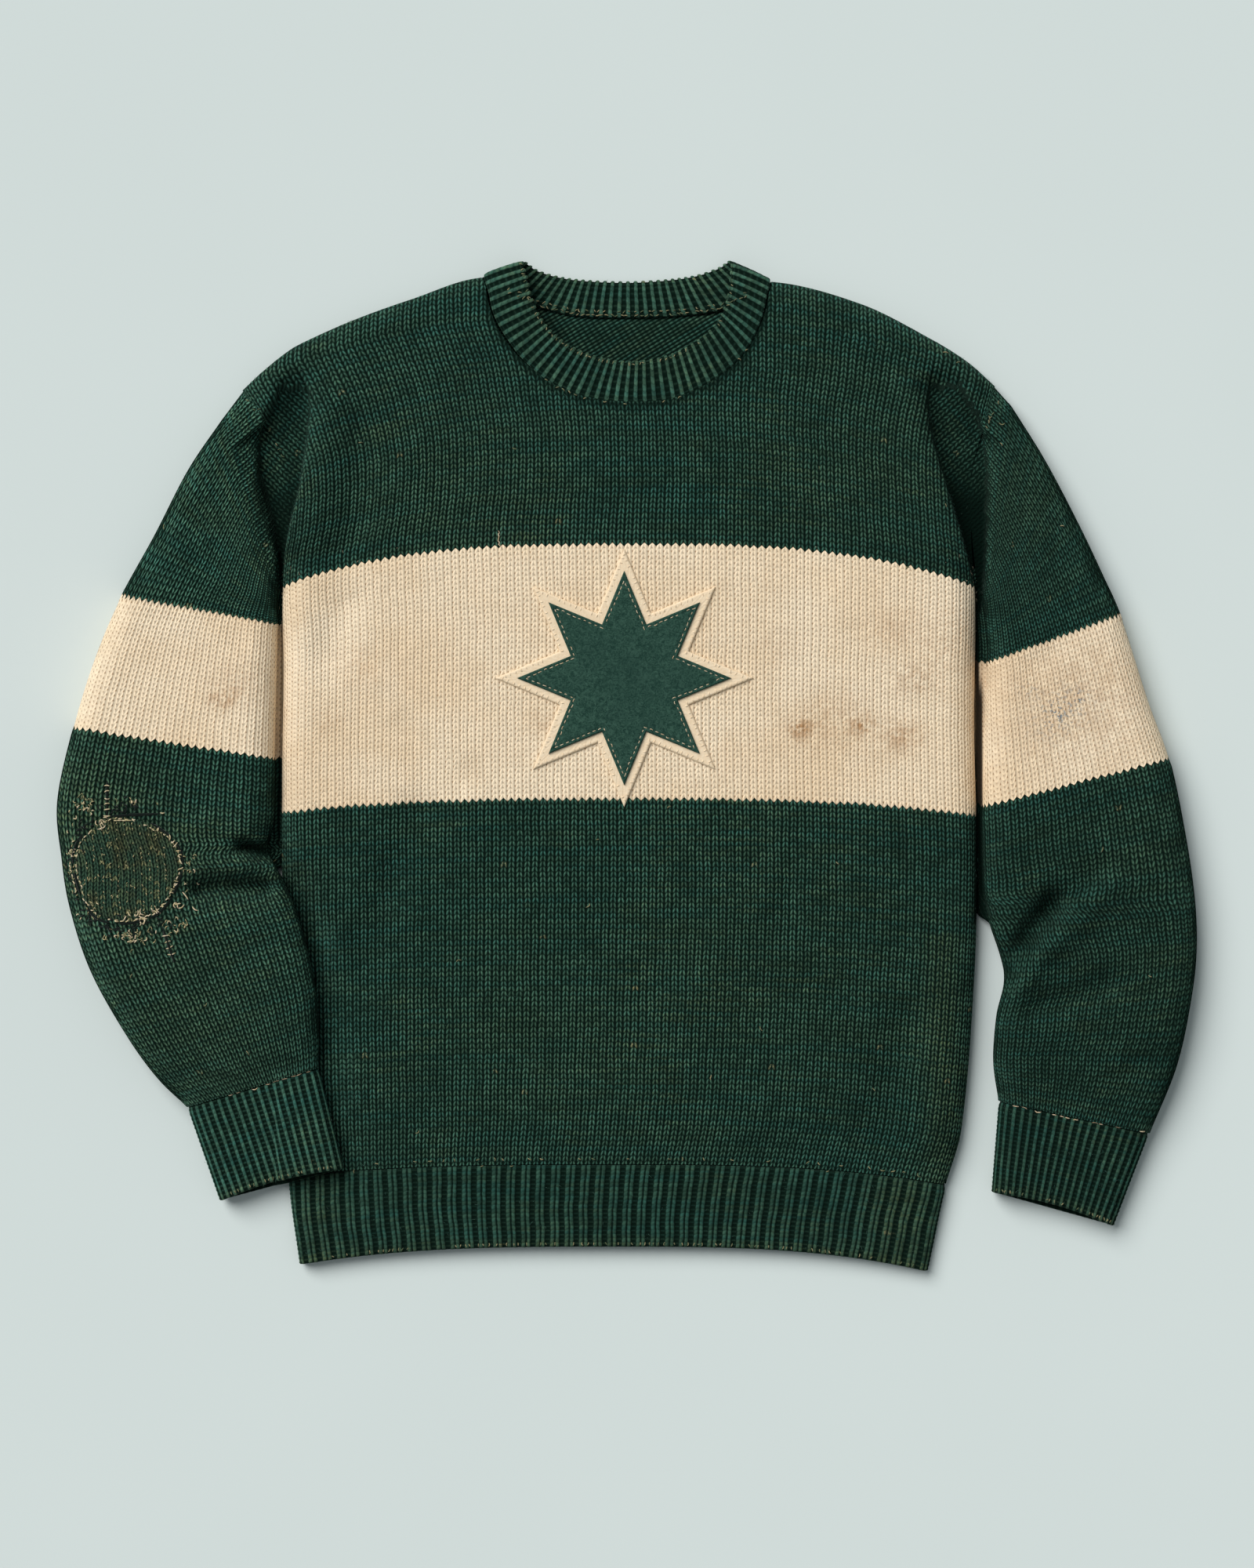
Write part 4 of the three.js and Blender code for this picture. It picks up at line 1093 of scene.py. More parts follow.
# How many bits of near-black thread are strewn round the darn as painted shadow in small holes.
DARN_HOLES = 90
LONE_FLECKS = [
    (-229, 275), (-263, 254), (-257, 241), (-233, 190), (228, 295), (237, 288), (259, 248), (268, 245),
    (267, 229), (227, 185), (137, 212), (-28, -100), (60, -223), (-21, -53), (96, -188), (150, -70),
    (-120, -140), (-190, 230), (200, 140), (-80, 226), (310, 170), (338, -60), (372, -150), (-330, 170),
    (-300, -170), (-270, -205), (-352, -150), (30, -30), (176, -232), (-150, -262),
]


def arc(radius, start, end):
    turn = np.radians(np.linspace(start, end, 60))
    reach = radius * (1 + 0.03 * np.sin(3 * turn + 1) + 0.025 * np.sin(5 * turn))
    return DARN_CENTRE + reach[:, None] * np.stack([np.cos(turn), np.sin(turn)], -1)


def scattered(surface, middles, length, lift_by, curl=0.25):
    """Threads at random angles."""
    middles = np.asarray(middles, float)
    turn = random.uniform(0, math.pi, len(middles))
    size = length * random.uniform(0.6, 1.3, len(middles))
    way = np.stack([np.cos(turn), np.sin(turn)], -1)
    return laid_threads(surface, middles, way, size, lift_by, curl=curl)


def darn_threads(surface):
    """Pale stitches round the darn, gold ones strewn over it, and near-black threads laid as painted shadow
    in the gaps and small holes between.
    """
    pale, gold = [], []
    for radius, start, end, pitch, length, crossing, skip in DARN_RINGS:
        route = arc(radius, start, end)
        pale.append(stitches_along(surface, route, pitch, length, 0.9, 0.4, skip, across=crossing))
        gold.append(stitches_along(surface, route, 1.7 * pitch, 0.8 * length, 0.7, 0.7, 0.2, across=crossing))
    for start, end, pitch, length, crossing in DARN_ROWS:
        pale.append(stitches_along(surface, [start, end], pitch, length, 1.0, 0.12, 0, 0.1, across=crossing))
    for x, y, spread, count in DARN_CLUMPS:
        pale.append(scattered(surface, random.normal((x, y), spread * 0.6, (count, 2)), 4.6, 1.3))
    for x, y, wide, high, count in DARN_FIELDS:
        places = random.normal((x, y), (wide * 0.6, high * 0.6), (count, 2))
        gold.append(scattered(surface, places[count // 3:], 3.0, 0.8, 0.5))
        pale.append(scattered(surface, places[: count // 3], 2.6, 0.8, 0.5))
    for across in np.arange(-28, 29, 5.6):
        half = math.sqrt(DARN_RADIUS**2 - across**2) - 4
        column = DARN_CENTRE + [[across + 1.5, -half], [across - 1.5, half]]
        gold.append(stitches_along(surface, column, 3.7, 1.9, 0.6, 0.5, 0.4))
    inside = random.normal(DARN_CENTRE + [-8, 3], (17, 18), (24, 2))
    inside = inside[np.hypot(*(inside - DARN_CENTRE).T) < DARN_RADIUS - 3]
    gold.append(scattered(surface, inside, 2.2, 0.6, 0.4))
    gaps = [laid_line(surface, gap) for gap in DARN_GAPS]
    gaps += [laid_line(surface, arc(GAP_RADIUS, start, start + GAP_TURN)) for start in DARN_GAP_ARCS]
    turn = np.radians(random.uniform(80, 330, DARN_HOLES))
    reach = random.normal(43, 3.5, DARN_HOLES)
    places = DARN_CENTRE + reach[:, None] * np.stack([np.cos(turn), np.sin(turn)], -1)
    holes = scattered(surface, places, 3.6, 0.55, 0.3)
    return np.concatenate(pale), np.concatenate(gold), np.stack(gaps), holes


def laid_line(surface, route, steps=16, lift_by=0.1):
    """One path that follows a route along the surface."""
    route = np.asarray(route, float)
    run = run_of(route)
    places = np.linspace(0, run[-1], steps)
    plan = at_run(route, run, places)
    base, normals = surface.drop(plan[:, 0], plan[:, 1])
    return base + normals * lift_by


def seam_threads(surface):
    """Sewing at the cuffs, and the flecks of pale wool at the other seams and at the edges. Each row of
    flecks is [route, pitch, length, rise, swing, skip, crossing]."""
    tan = [
        stitches_along(surface, [(-314, -244), (-268, -231), (-222, -217)], 5.8, 4.2, 0.8, 0.12, 0.15),
        stitches_along(surface, [(268, -241), (320, -253), (372, -262)], 5.8, 4.2, 0.8, 0.12, 0.25),
    ]
    share = np.linspace(0.09, 0.985, 80)
    hem_line = np.stack(body_plan(share, np.full(80, HEM_SEAM_Y - 0.5)), -1)
    olive = [
        stitches_along(surface, hem_line, 3.5, 2.8, 0.9, 0.5, 0.3, across=True),
        stitches_along(surface, hem_line + [0, 5], 9, 3.0, 0.7, 0.8, 0.4),
        scattered(surface, LONE_FLECKS, 3.8, 0.8, 0.2),
    ]
    band = np.array(NECKBAND, float)
    seam, opening = band[:FRONT_SECTIONS, :2], band[:FRONT_SECTIONS, 3:5]
    back = band[:FRONT_SECTIONS:-1, :2]
    rows = [
        (seam + [0, -1.0], 4.6, 2.8, 0.8, 0.6, 0.72, False),
        (mix(seam, opening, 0.92), 3.2, 2.4, 0.7, 0.6, 0.3, True),
        (back + [0, 1.4], 3.6, 3.0, 0.9, 0.5, 0.1, False),
        (back + [0, 4.2], 4.4, 2.6, 0.9, 0.6, 0.3, False),
    ]
    for edge in CUFF_EDGES.values():
        t = np.linspace(0.02, 0.98, 40)
        bowed = mix(edge[1], edge[3], t) + CUFF_MOUTH_BOW * 4 * t * (1 - t)
        mouth = np.stack([mix(edge[0], edge[2], t), bowed + 1.2], -1)
        rows.append((mouth, 2.9, 2.4, 0.7, 0.4, 0.45, True))
    share = np.linspace(0.02, 0.98, 90)
    hem_edge = np.stack(body_plan(share, np.full(90, HEM_EDGE_Y + 1.3)), -1)
    rows.append((hem_edge, 3.4, 2.3, 0.6, 0.5, 0.5, True))
    for route in ([(-276, 266), (-261, 247), (-247, 222)], [(270, 266), (259, 247), (250, 222)]):
        rows.append((route, 4.5, 3.0, 0.8, 0.7, 0.35, False))
    for route, pitch, length, lift_by, swing, skip, across in rows:
        olive.append(stitches_along(surface, route, pitch, length, lift_by, swing, skip, across=across))
    return np.concatenate(tan), np.concatenate(olive)


def motif_threads(surface):
    """A running stitch inside the green felt's edge, and the whipping over the cream felt's."""
    running, edge = (
        star_outline(reach - inset / math.sin(math.pi / STAR_POINTS), 20)
        for reach, inset in ((FELT_REACH, SEWN_INSET), (STAR_REACH, WHIPPED_INSET))
    )
    running, edge = np.vstack([running, running[:1]]), np.vstack([edge, edge[:1]])
    tan = stitches_along(surface, running, STITCH_PITCH, 2.7, 0.35, 0.05, 0.03, 0.1)
    whip = stitches_along(surface, edge, STITCH_PITCH, 2.6, 0.35, 0.2, 0.1, 0.15, across=True)
    return tan, whip


# ---- fuzz ----
FUZZ_FIBRES = 4200
FUZZ_LENGTH = 3.8


def face_middles(piece):
    """Middles and normals of a piece's faces, in mm, and how much each counts when fibres are strewn."""
    faces = piece.data.polygons
    middles, normals, areas = np.empty(len(faces) * 3), np.empty(len(faces) * 3), np.empty(len(faces))
    faces.foreach_get("center", middles)
    faces.foreach_get("normal", normals)
    faces.foreach_get("area", areas)
    normals = normals.reshape(-1, 3)
    seen = ease((normals[:, 2] + 0.35) / 0.3)
    return middles.reshape(-1, 3) / MM, normals, areas * seen * (0.3 + 3 * (1 - np.abs(normals[:, 2])) ** 2)


def fuzz_paths(pieces, count, length):
    """Fine curled fibres that stand out of the wool of some pieces."""
    points, normals, weights = (np.concatenate(part) for part in zip(*map(face_middles, pieces)))
    pick = random.choice(len(points), count, p=weights / weights.sum())
    root, out = points[pick] - 0.3 * normals[pick], normals[pick]
    swing = random.normal(0, 1, (count, 3))
    lean_way = unit(swing - out * (swing * out).sum(1, keepdims=True), 1e-6)
    curl = np.cross(out, lean_way)
    size = length * random.uniform(0.5, 1.4, (count, 1, 1))
    t = np.linspace(0, 1, 4)[None, :, None]
    bend = random.normal(0, 0.35, (count, 1, 1))
    path = out[:, None] * (0.42 * t * (1.5 - t)) + lean_way[:, None] * 0.62 * t + curl[:, None] * bend * t**2
    path = root[:, None] + size * path
    path[..., 2] = np.maximum(path[..., 2], 0.3)
    return path


# ---- node materials ----
def striped(points):
    """Whether points lie on a cream stripe: between two lines across each sleeve, or two courses."""
    x, y = points[:, 0], points[:, 1]
    course = y + 10 * (np.abs(x) / BODY_HALF) ** 3
    found = (course > BODY_STRIPE[0]) & (course < BODY_STRIPE[1]) & (np.abs(x) < BODY_HALF)
    for side in SLEEVES:
        knots = numbered(SLEEVES[side])
        top, bottom = (along(knots, np.array([station]))[0] for station in STRIPES[side])
        below_top = (y - top[1]) * (top[2] - top[0]) < (x - top[0]) * (top[3] - top[1])
        above_bottom = (y - bottom[1]) * (bottom[2] - bottom[0]) > (x - bottom[0]) * (bottom[3] - bottom[1])
        on_sleeve = (below_top & above_bottom) if side < 0 else (~below_top & ~above_bottom)
        found = found | (on_sleeve & (x * side > BODY_HALF))
    return found


class Nodes:
    """A material's node tree, built with short calls that return sockets."""

    def __init__(self, name):
        self.material = bpy.data.materials.new(name)
        self.material.use_nodes = True
        self.tree = self.material.node_tree
        self.shader = self.tree.nodes["Principled BSDF"]

    def fill(self, node, inputs):
        """Links sockets to a node's inputs, or sets them, by name or number."""
        for key, value in inputs.items():
            if isinstance(value, bpy.types.NodeSocket):
                self.tree.links.new(value, node.inputs[key])
            else:
                node.inputs[key].default_value = value

    def outputs(self, kind, inputs, **settings):
        node = self.tree.nodes.new(kind)
        for key, value in settings.items():
            setattr(node, key, value)
        self.fill(node, inputs)
        return node.outputs

    def math(self, operation, *values, clamp=False):
        inputs = dict(enumerate(values))
        return self.outputs("ShaderNodeMath", inputs, operation=operation, use_clamp=clamp)[0]

    def times(self, a, b, clamp=False):
        return self.math("MULTIPLY", a, b, clamp=clamp)

    def scaled(self, value, factor, shift, clamp=False):
        return self.math("MULTIPLY_ADD", value, factor, shift, clamp=clamp)

    def remainder(self, value):
        return self.math("SUBTRACT", 1.0, value)

    def fraction(self, value):
        return self.math("FRACT", value)

    def whole(self, value):
        return self.math("FLOOR", value)

    def size(self, value):
        return self.math("ABSOLUTE", value)

    def wave(self, value):
        """1 at whole numbers, and down in a straight line to 0 midway between them."""
        return self.size(self.scaled(self.fraction(value), 2.0, -1.0))

    def mix(self, factor, a, b, blend="MIX"):
        inputs = {"Factor": factor, 6: a, 7: b}
        return self.outputs("ShaderNodeMix", inputs, data_type="RGBA", blend_type=blend)[2]

    def shaded(self, colour, shade):
        return self.mix(1.0, colour, self.combine(shade, shade, shade), "MULTIPLY")

    def smooth(self, value, low, high, out_low=0.0, out_high=1.0):
        inputs = dict(enumerate((value, low, high, out_low, out_high)))
        return self.outputs("ShaderNodeMapRange", inputs, interpolation_type="SMOOTHSTEP")[0]

    def add_vector(self, vector, amount):
        return self.outputs("ShaderNodeVectorMath", {0: vector, 1: (amount,) * 3}, operation="ADD")[0]

    def combine(self, x, y, z=0.0):
        return self.outputs("ShaderNodeCombineXYZ", {0: x, 1: y, 2: z})[0]

    def separate(self, vector):
        return self.outputs("ShaderNodeSeparateXYZ", {0: vector})

    def noise(self, vector, scale, detail=2.0, roughness=0.55, distortion=0.0):
        return self.outputs("ShaderNodeTexNoise", {
            "Vector": vector, "Scale": scale, "Detail": detail, "Roughness": roughness,
            "Distortion": distortion,
        })["Fac"]

    def white(self, vector):
        return self.outputs("ShaderNodeTexWhiteNoise", {"Vector": vector}, noise_dimensions="3D")["Value"]

    def knit_uv(self):
        return self.separate(self.outputs("ShaderNodeUVMap", {}, uv_map="knit")[0])[:2]

    def place(self):
        """The point on the object, in metres."""
        return self.outputs("ShaderNodeTexCoord", {})["Object"]

    def marks(self):
        """Brown stain, grey stain, wear and painted shade."""
        found = self.outputs("ShaderNodeAttribute", {}, attribute_name="marks")
        return [*self.separate(found["Vector"]), found["Alpha"]]

    def bump(self, height, distance, strength=1.0):
        inputs = {"Strength": strength, "Distance": distance, "Height": height}
        self.fill(self.shader, {"Normal": self.outputs("ShaderNodeBump", inputs)[0]})

    def finish(self, colour, roughness=0.9, sheen=0.25, sheen_tint=(1, 1, 1, 1)):
        self.fill(self.shader, {
            "Base Color": colour, "Roughness": roughness, "Specular IOR Level": 0.05,
            "Sheen Weight": sheen, "Sheen Roughness": 0.5, "Sheen Tint": sheen_tint,
        })
        return self.material


# Linear colours of the yarns, the felt and the floor.
GREEN = (0.051, 0.128, 0.089, 1)
TEAL = (0.036, 0.124, 0.098, 1)
OLIVE = (0.112, 0.165, 0.082, 1)
# Painted shade for the green, near black: in its stitches' hollows and where the marks shade it.
GREEN_PAINTED_SHADE = (0.0018, 0.0085, 0.0055, 1)
CREAM = (0.88, 0.69, 0.47, 1)
CREAM_LIGHT = (0.95, 0.79, 0.58, 1)
# Painted shade for the cream: near black where the marks shade it, and warm brown in its stitches' holes.
CREAM_PAINTED_SHADOW = (0.035, 0.026, 0.018, 1)
CREAM_PAINTED_SHADE = (0.34, 0.195, 0.095, 1)
STAIN_BROWN = (0.42, 0.20, 0.07, 1)
STAIN_GREY = (0.22, 0.27, 0.30, 1)
GOLD = (0.42, 0.34, 0.16, 1)
DARN_BROWN = (0.066, 0.074, 0.036, 1)
DARN_GREEN = (0.036, 0.082, 0.052, 1)
TAN_THREAD = (0.50, 0.37, 0.22, 1)
CREAM_THREAD = (0.68, 0.56, 0.40, 1)
GOLD_THREAD = (0.50, 0.42, 0.22, 1)
OLIVE_THREAD = (0.085, 0.115, 0.055, 1)
SEAM_THREAD = (0.30, 0.26, 0.14, 1)
# Near black for threads laid as painted shadow in the darn's gaps and holes.
SHADOW_THREAD_COLOUR = (0.004, 0.009, 0.007, 1)
FELT_DARK = (0.012, 0.040, 0.030, 1)
FELT_LIGHT = (0.045, 0.105, 0.078, 1)
FELT_DEEP = (0.016, 0.045, 0.036, 1)
PURL_TINT = (0.86, 0.80, 0.76, 1)
FLOOR_DARK = (0.70, 0.775, 0.765, 1)
FLOOR_LIGHT = (0.71, 0.785, 0.775, 1)
GREEN_SHEEN = (0.5, 0.9, 0.7, 1)

# The wrong side's ridges: degrees from level, and their pitch and their beads' in metres.
PURL_TILT = 31
PURL_PITCH = 0.0025
PURL_BEAD = 0.0042


def wobbled(n, u, v, amount):
    """Stitch coordinates made a little uneven, as hand knitting is."""
    coarse = n.combine(n.times(u, 0.21), n.times(v, 0.17))
    du = n.scaled(n.noise(coarse, 1.0, 3.0), amount, -amount / 2)
    moved = n.combine(n.times(u, 0.33), n.times(v, 0.29), 7.0)
    dv = n.scaled(n.noise(moved, 1.0, 3.0), amount * 1.4, -amount * 0.7)
    return n.math("ADD", u, du), n.math("ADD", v, dv)


def stitch_nodes(n, u, v):
    """Height of a stockinette stitch, 0 in the grooves to 1 on a leg, how far it is from the holes, and
    its own course and wale."""
    across = n.math("SUBTRACT", n.fraction(u), 0.5)
    out = n.times(n.size(across), 2.0)
    course = n.scaled(out, LEG_SLANT, v)
    leg = n.math("MINIMUM", n.scaled(out, 2.0, 0.2), n.scaled(out, -2.0, 2.05))
    leg = n.math("POWER", n.math("MINIMUM", leg, 1.0), 0.7)
    turn = n.remainder(n.wave(course))
    turn = n.math("POWER", turn, 0.6)
    height = n.times(leg, n.scaled(turn, 0.65, 0.35))
    clear = n.scaled(leg, 0.8, n.times(turn, 0.6))
    return height, clear, n.whole(course), n.whole(u)


def green_yarn(n, u, v, wear, cell):
    """Heathered green wool: teal and olive fibres, streaks along the courses, worn patches and flecks."""
    place = n.place()
    streak = n.noise(n.combine(n.times(u, 0.045), n.times(v, 0.55)), 1.0, 2.0)
    patch = n.noise(place, 16.0, 4.0, 0.6)
    fibre = n.noise(place, 700.0, 3.0, 0.7)
    colour = n.mix(n.smooth(streak, 0.38, 0.66), GREEN, TEAL)
    rubbed = n.noise(n.combine(n.times(u, 0.16), n.times(v, 0.9), 3.0), 1.0, 2.0)
    worn = n.times(n.smooth(patch, 0.42, 0.66), n.smooth(rubbed, 0.42, 0.62))
    worn = n.times(n.scaled(wear, 0.62, n.times(worn, 0.5), clamp=True),
                  n.smooth(fibre, 0.3, 0.6))
    colour = n.mix(worn, colour, OLIVE)
    shade = n.scaled(n.white(cell), 0.6, 0.74)
    shade = n.times(shade, n.scaled(fibre, 1.1, 0.45))
    shade = n.times(shade, n.smooth(n.noise(place, 38.0, 4.0, 0.65), 0.3, 0.7, 0.88, 1.2))
    colour = n.shaded(colour, shade)
    chance = n.scaled(wear, -0.01, 0.9997)
    fleck = n.math("GREATER_THAN", n.white(n.add_vector(cell, 31.0)), chance)
    fleck = n.times(fleck, n.smooth(fibre, 0.4, 0.6))
    return n.mix(n.times(fleck, 0.55), colour, GOLD)


def cream_yarn(n, cell, brown, grey):
    place = n.place()
    patch = n.noise(place, 12.0, 4.0, 0.6)
    fibre = n.noise(place, 650.0, 3.0, 0.7)
    blotch = n.noise(place, 170.0, 3.0, 0.7)
    colour = n.mix(n.smooth(patch, 0.35, 0.7), CREAM_LIGHT, CREAM)
    shade = n.scaled(n.white(cell), 0.10, 0.985)
    shade = n.times(shade, n.scaled(fibre, 0.2, 0.9))
    colour = n.shaded(colour, shade)
    edge = n.smooth(blotch, 0.36, 0.6, 0.15, 1.5)
    colour = n.mix(n.times(n.times(brown, edge), 0.6, clamp=True), colour, STAIN_BROWN)
    speck = n.smooth(n.noise(place, 420.0, 2.0, 0.6), 0.5, 0.62)
    return n.mix(n.times(n.times(grey, speck), 0.9, clamp=True), colour, STAIN_GREY)


def finish_yarn(n, colour, height, fuzz, distance, strength):
    """The stitches' relief with fine fuzz on it, and wool's dull sheen."""
    fibres = n.noise(n.place(), 1100.0, 3.0, 0.7)
    n.bump(n.scaled(fibres, fuzz, height), distance, strength)
    return n.finish(colour, 0.95, 0.06, GREEN_SHEEN)


def knit_material(name, stripe=None, tone=(1.0, 1.0)):
    """Stockinette in green wool, with a cream stripe between two courses. tone darkens or lightens the green
    below the stripe and above it."""
    n = Nodes(name)
    brown, grey, wear, dark = n.marks()
    u, v = wobbled(n, *n.knit_uv(), 0.42)
    height, clear, course, wale = stitch_nodes(n, u, v)
    cell = n.combine(wale, course)
    shade = n.smooth(n.separate(n.place())[1], 0.09, 0.15, *tone)
    green = n.shaded(green_yarn(n, u, v, wear, cell), shade)
    # Painted shade where the marks' alpha says so.
    green = n.mix(dark, green, GREEN_PAINTED_SHADE)
    # Painted shade in the stitches' hollows, taken from their height.
    hollow = n.smooth(height, 0.32, 0.98)
    colour = n.mix(hollow, GREEN_PAINTED_SHADE, green)
    if stripe:
        low, high = sorted(stripe)
        above = n.math("GREATER_THAN", course, round(low) - 0.5)
        below = n.math("LESS_THAN", course, round(high) - 0.5)
        inside = n.times(above, below)
        # Painted shade in the cream's stitch holes, warm brown, and near black where the marks' alpha says
        # so.
        cream = n.mix(n.smooth(clear, 0.32, 0.8), CREAM_PAINTED_SHADE, cream_yarn(n, cell, brown, grey))
        cream = n.mix(n.smooth(dark, 0.5, 0.95), cream, CREAM_PAINTED_SHADOW)
        colour = n.mix(inside, colour, cream)
        height = n.times(height, n.scaled(inside, -0.3, 1.0))
    return finish_yarn(n, colour, height, 0.35, 0.0012, 0.9)


def rib_material(name, cords, tone, purl):
    """Rib in green wool: cords of knit stitches, with beads of purl stitches in the valleys between them.
    tone darkens or lightens it; purl is how much of the beads shows."""
    n = Nodes(name)
    _, _, wear, dark = n.marks()
    u, v = wobbled(n, *n.knit_uv(), 0.22)
    rib = n.fraction(u)
    slant = n.scaled(n.size(n.math("SUBTRACT", rib, 0.4)), -0.9, v)
    crest = 0.0
    for middle, half in cords:
        away = n.size(n.math("SUBTRACT", rib, middle))
        crest = n.math("MAXIMUM", n.smooth(away, 1.1 * half, 0.35 * half), crest)
    turn = n.remainder(n.wave(slant))
    turn = n.math("POWER", turn, 0.6)
    height = n.times(crest, n.scaled(turn, 0.4, 0.6))
    bead = n.wave(n.math("ADD", v, 0.5))
    valley = n.times(n.remainder(crest), n.scaled(bead, purl, 0.05))
    height = n.math("MAXIMUM", height, valley)
    cell = n.combine(n.whole(n.times(u, 2.0)), n.whole(slant))
    green = green_yarn(n, n.times(u, 2.0), v, wear, cell)
    green = n.shaded(green, tone)
    # Painted shade where the marks' alpha says so, and in the valleys between the cords.
    green = n.mix(dark, green, GREEN_PAINTED_SHADE)
    colour = n.mix(n.smooth(height, 0.15, 1.0), GREEN_PAINTED_SHADE, green)
    return finish_yarn(n, colour, height, 0.3, 0.0009, 0.85)


def purl_material(name):
    """The wrong side of the knit: ridges that lie at a slant across the inside of the back."""
    n = Nodes(name)
    x, y, _ = n.separate(n.place())
    cos, sin = math.cos(math.radians(PURL_TILT)), math.sin(math.radians(PURL_TILT))
    run = n.scaled(x, -sin / PURL_PITCH, n.times(y, cos / PURL_PITCH))
    side = n.scaled(x, cos / PURL_BEAD, n.times(y, sin / PURL_BEAD))
    run, side = wobbled(n, run, side, 0.3)
    ridge = n.remainder(n.wave(run))
    bead = n.wave(side)
    height = n.times(n.math("POWER", ridge, 0.7), n.scaled(bead, -0.45, 1.0))
    cell = n.combine(n.whole(run), n.whole(side))
    green = green_yarn(n, side, run, 0.0, cell)
    green = n.mix(1.0, green, PURL_TINT, "MULTIPLY")
    # Painted shade in the furrows between the ridges.
    colour = n.mix(n.smooth(height, 0.28, 0.95), GREEN_PAINTED_SHADE, green)
    n.bump(height, 0.0010, 0.9)
    return n.finish(colour, 0.95, 0.06, GREEN_SHEEN)


def felt_material(name, dark, light, deep, bump):
    """Napped wool felt, with curling fibres."""
    n = Nodes(name)
    place = n.place()
    swirl = n.noise(place, 330.0, 3.0, 0.65, 1.6)
    fine = n.noise(place, 1200.0, 2.0, 0.7)
    patch = n.noise(place, 22.0, 3.0)
    nap = n.scaled(swirl, 0.7, n.times(fine, 0.3))
    colour = n.mix(n.smooth(nap, 0.36, 0.66), dark, light)
    colour = n.mix(n.smooth(patch, 0.45, 0.75, 0.0, 0.35), colour, deep)
    n.bump(nap, bump, 0.8)
    return n.finish(colour, 0.95, 0.3, light)


def darn_material(name):
    """Darning wool worked over the hole in rough, uneven stitches of browner green."""
    n = Nodes(name)
    u, v = wobbled(n, *n.knit_uv(), 0.6)
    height, _, course, wale = stitch_nodes(n, u, v)
    cell = n.combine(wale, course)
    place = n.place()
    fibre = n.noise(place, 800.0, 3.0, 0.7)
    patch = n.noise(place, 45.0, 3.0)
    tint = n.white(cell)
    colour = n.mix(n.smooth(patch, 0.38, 0.6), DARN_BROWN, DARN_GREEN)
    colour = n.mix(n.smooth(tint, 0.5, 1.0, 0.0, 0.6), colour, OLIVE)
    shade = n.scaled(fibre, 1.3, 0.4)
    colour = n.shaded(colour, shade)
    fleck = n.times(n.math("GREATER_THAN", tint, 0.9), n.smooth(fibre, 0.45, 0.6))
    colour = n.mix(n.times(fleck, 0.6), colour, GOLD)
    # Painted shade in the hollows between the stitches.
    colour = n.mix(n.smooth(height, 0.2, 0.8), GREEN_PAINTED_SHADE, colour)
    n.bump(height, 0.0011, 0.9)
    return n.finish(colour, 0.95, 0.06)


def thread_material(name, a, b, scale=500.0):
    n = Nodes(name)
    tone = n.noise(n.place(), scale, 2.0)
    n.bump(n.noise(n.place(), 2500.0, 2.0), 0.0002, 0.6)
    return n.finish(n.mix(n.smooth(tone, 0.35, 0.65), a, b), 0.8, 0.2)


def floor_material(name):
    n = Nodes(name)
    tone = n.noise(n.place(), 3.0, 2.0)
    colour = n.mix(n.smooth(tone, 0.3, 0.7), FLOOR_DARK, FLOOR_LIGHT)
    n.bump(n.noise(n.place(), 900.0, 2.0), 0.0001, 0.2)
    return n.finish(colour, 0.95, 0.0)


# ---- build ----
def sew(name, paths, radius, material):
    return finish_piece(tubes(name, paths, radius), material)


def finish_piece(piece, material, nodes=()):
    piece.data.materials.append(material)
    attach(piece, "root")
    if nodes:
        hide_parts(*nodes)
    return piece


front = front_panel()
back, back_inside = back_panel()
left_sleeve, left_stripe = sleeve(-1, "sleeve_left.knit")
right_sleeve, right_stripe = sleeve(1, "sleeve_right.knit")
left_cuff, right_cuff = (
    ribbed_tube(name, cuff_ring(side), ribs, 10, CUFF_COURSES, SINGLE_CORD, side, edge_wear)
    for name, side, ribs in (("cuff_left.rib", -1, 38), ("cuff_right.rib", 1, 40))
)
hem = ribbed_tube("hem_band.rib", hem_ring, 90, 12, HEM_COURSES, PAIRED_CORDS, -1, hem_wear)
collar = neckband()
backing = star_layer("motif_backing.felt", STAR_REACH, low=0.5, puff=1.4, relief=border_relief)
star = star_layer("motif_felt.felt", FELT_REACH, low=2.6, puff=1.2, relief=felt_relief)

garment = [front, left_sleeve, right_sleeve, left_cuff, right_cuff, hem, collar]
shown = Surface([*garment, backing, star, back_inside])
darn = darn_patch(shown.drop)
mended = Surface([left_sleeve, darn])
pale, gold, gaps, holes = darn_threads(mended)
tan, olive = seam_threads(shown)
star_tan, star_whip = motif_threads(shown)
loose = laid_line(shown, [(-92, 167), (-90.5, 163), (-91.5, 158), (-89.5, 155)], lift_by=0.9)[None]

fuzz = fuzz_paths(garment, FUZZ_FIBRES, FUZZ_LENGTH)
on_cream = striped(fuzz[:, 0])

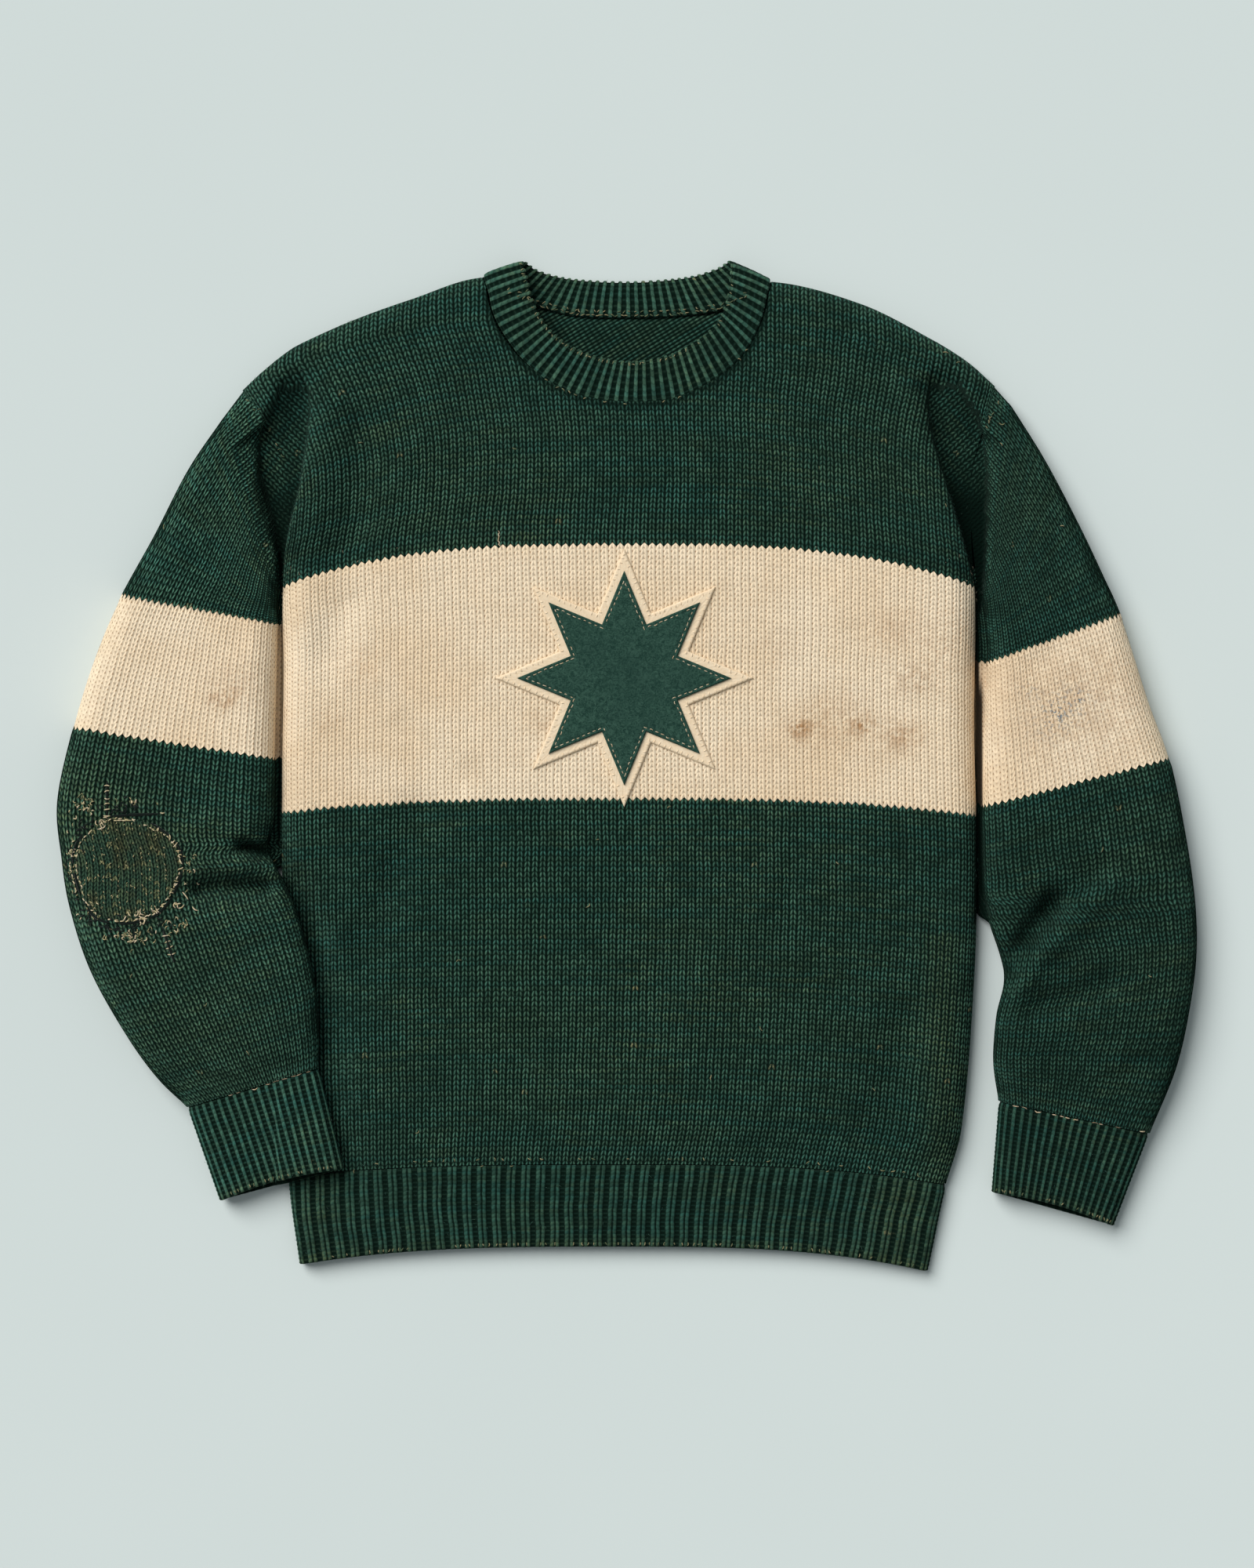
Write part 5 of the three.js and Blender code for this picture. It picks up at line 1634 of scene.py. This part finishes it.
stripe_courses = [(course - HEM_SEAM_Y - SEAM_GAP) / COURSE for course in BODY_STRIPE]
finish_piece(front, knit_material("front_knit", stripe_courses), ["front_panel"])
finish_piece(back, knit_material("back_knit", stripe_courses), ["back_panel"])
finish_piece(back_inside, purl_material("back_purl"))
left_knit = knit_material("left_sleeve_knit", left_stripe, tone=(1.15, 1.6))
right_knit = knit_material("right_sleeve_knit", right_stripe, tone=(0.9, 1.06))
finish_piece(left_sleeve, left_knit, ["sleeve_left"])
finish_piece(right_sleeve, right_knit, ["sleeve_right"])
for band, material, cords, tone, purl, node in [
    (left_cuff, "left_cuff_rib", SINGLE_CORD, 0.9, 0.45, "cuff_left"),
    (right_cuff, "right_cuff_rib", SINGLE_CORD, 0.65, 0.4, "cuff_right"),
    (hem, "hem_rib", PAIRED_CORDS, 0.57, 0.4, "hem_band"),
    (collar, "collar_rib", COLLAR_CORDS, 0.8, 0.32, "neckband"),
]:
    finish_piece(band, rib_material(material, cords, tone, purl), [node])
cream_felt = felt_material("cream_felt", CREAM, CREAM_LIGHT, CREAM, bump=0.0004)
finish_piece(backing, cream_felt, ["motif_backing"])
green_felt = felt_material("green_felt", FELT_DARK, FELT_LIGHT, FELT_DEEP, bump=0.0007)
finish_piece(star, green_felt, ["motif_felt"])
finish_piece(darn, darn_material("darn_weave"), ["elbow_darn"])

pale_thread = thread_material("pale_thread", CREAM_THREAD, GOLD_THREAD)
gold_thread = thread_material("gold_thread", GOLD_THREAD, OLIVE_THREAD)
olive_thread = thread_material("olive_thread", OLIVE_THREAD, SEAM_THREAD, 120.0)
tan_thread = thread_material("tan_thread", TAN_THREAD, CREAM_THREAD)
cream_thread = thread_material("cream_thread", CREAM_LIGHT, CREAM)
painted_shadow_thread = thread_material("painted_shadow_thread", SHADOW_THREAD_COLOUR, SHADOW_THREAD_COLOUR)
darn_pale = sew("elbow_darn.pale_stitches", pale, 0.48, pale_thread)
darn_gold = sew("elbow_darn.gold_stitches", gold, 0.38, gold_thread)
# Near-black threads as painted shadow in the darn's gaps and holes.
darn_shadow_gaps = sew("elbow_darn.painted_shadow_gaps", gaps, 1.0, painted_shadow_thread)
darn_shadow_holes = sew("elbow_darn.painted_shadow_holes", holes, 0.6, painted_shadow_thread)
seam_tan = sew("seams.tan_stitches", tan, 0.42, tan_thread)
seam_olive = sew("seams.pale_flecks", olive, 0.38, olive_thread)
star_run = sew("motif.running_stitch", star_tan, 0.34, tan_thread)
star_edge = sew("motif.whipping", star_whip, 0.45, cream_thread)
tail = sew("front.loose_thread", loose, 0.4, tan_thread)
green_tubes = tubes("fuzz.green", fuzz[~on_cream], 0.1, sides=3, taper=0.3)
green_hair = finish_piece(green_tubes, thread_material("green_hair", GREEN, TEAL))
cream_tubes = tubes("fuzz.cream", fuzz[on_cream][::2], 0.09, sides=3, taper=0.3)
cream_hair = finish_piece(cream_tubes, cream_thread)


# ---- floor, light and camera ----
def stage():
    bpy.ops.mesh.primitive_plane_add(size=9)
    floor = bpy.context.object
    floor.name = "floor"
    floor.location.z = -0.0002
    floor.data.materials.append(floor_material("floor_paint"))


def sun_light(name, towards, spread, strength, colour):
    """A broad, even light from a direction, with the softness of a large studio box."""
    data = bpy.data.lights.new(name, "SUN")
    data.angle = math.radians(spread)
    data.energy = strength
    data.color = colour
    lamp = bpy.data.objects.new(name, data)
    lamp.location = towards
    lamp.rotation_euler = Vector(towards).to_track_quat("Z", "Y").to_euler()
    bpy.context.scene.collection.objects.link(lamp)


def camera():
    """A camera straight above, in metres, that sees a set length of the plane the cloth's top lies in."""
    data = bpy.data.cameras.new("camera")
    height, cloth_top, seen = 2.8, 0.02, 1.12
    data.sensor_fit = "VERTICAL"
    data.sensor_height = 36
    data.lens = data.sensor_height * (height - cloth_top) / seen
    data.clip_end = 20
    eye = bpy.data.objects.new("camera", data)
    eye.location = (0, -0.0134, height)
    bpy.context.scene.collection.objects.link(eye)
    bpy.context.scene.camera = eye


def world():
    room = bpy.data.worlds.new("room")
    room.use_nodes = True
    light = room.node_tree.nodes["Background"]
    light.inputs["Color"].default_value = (0.86, 0.93, 0.95, 1)
    light.inputs["Strength"].default_value = 0.27
    bpy.context.scene.world = room


stage()
world()
camera()
sun_light("key", towards=(-0.62, 0.66, 0.95), spread=42, strength=2.9, colour=(1.0, 0.985, 0.965))
bpy.context.scene.view_settings.view_transform = "Standard"
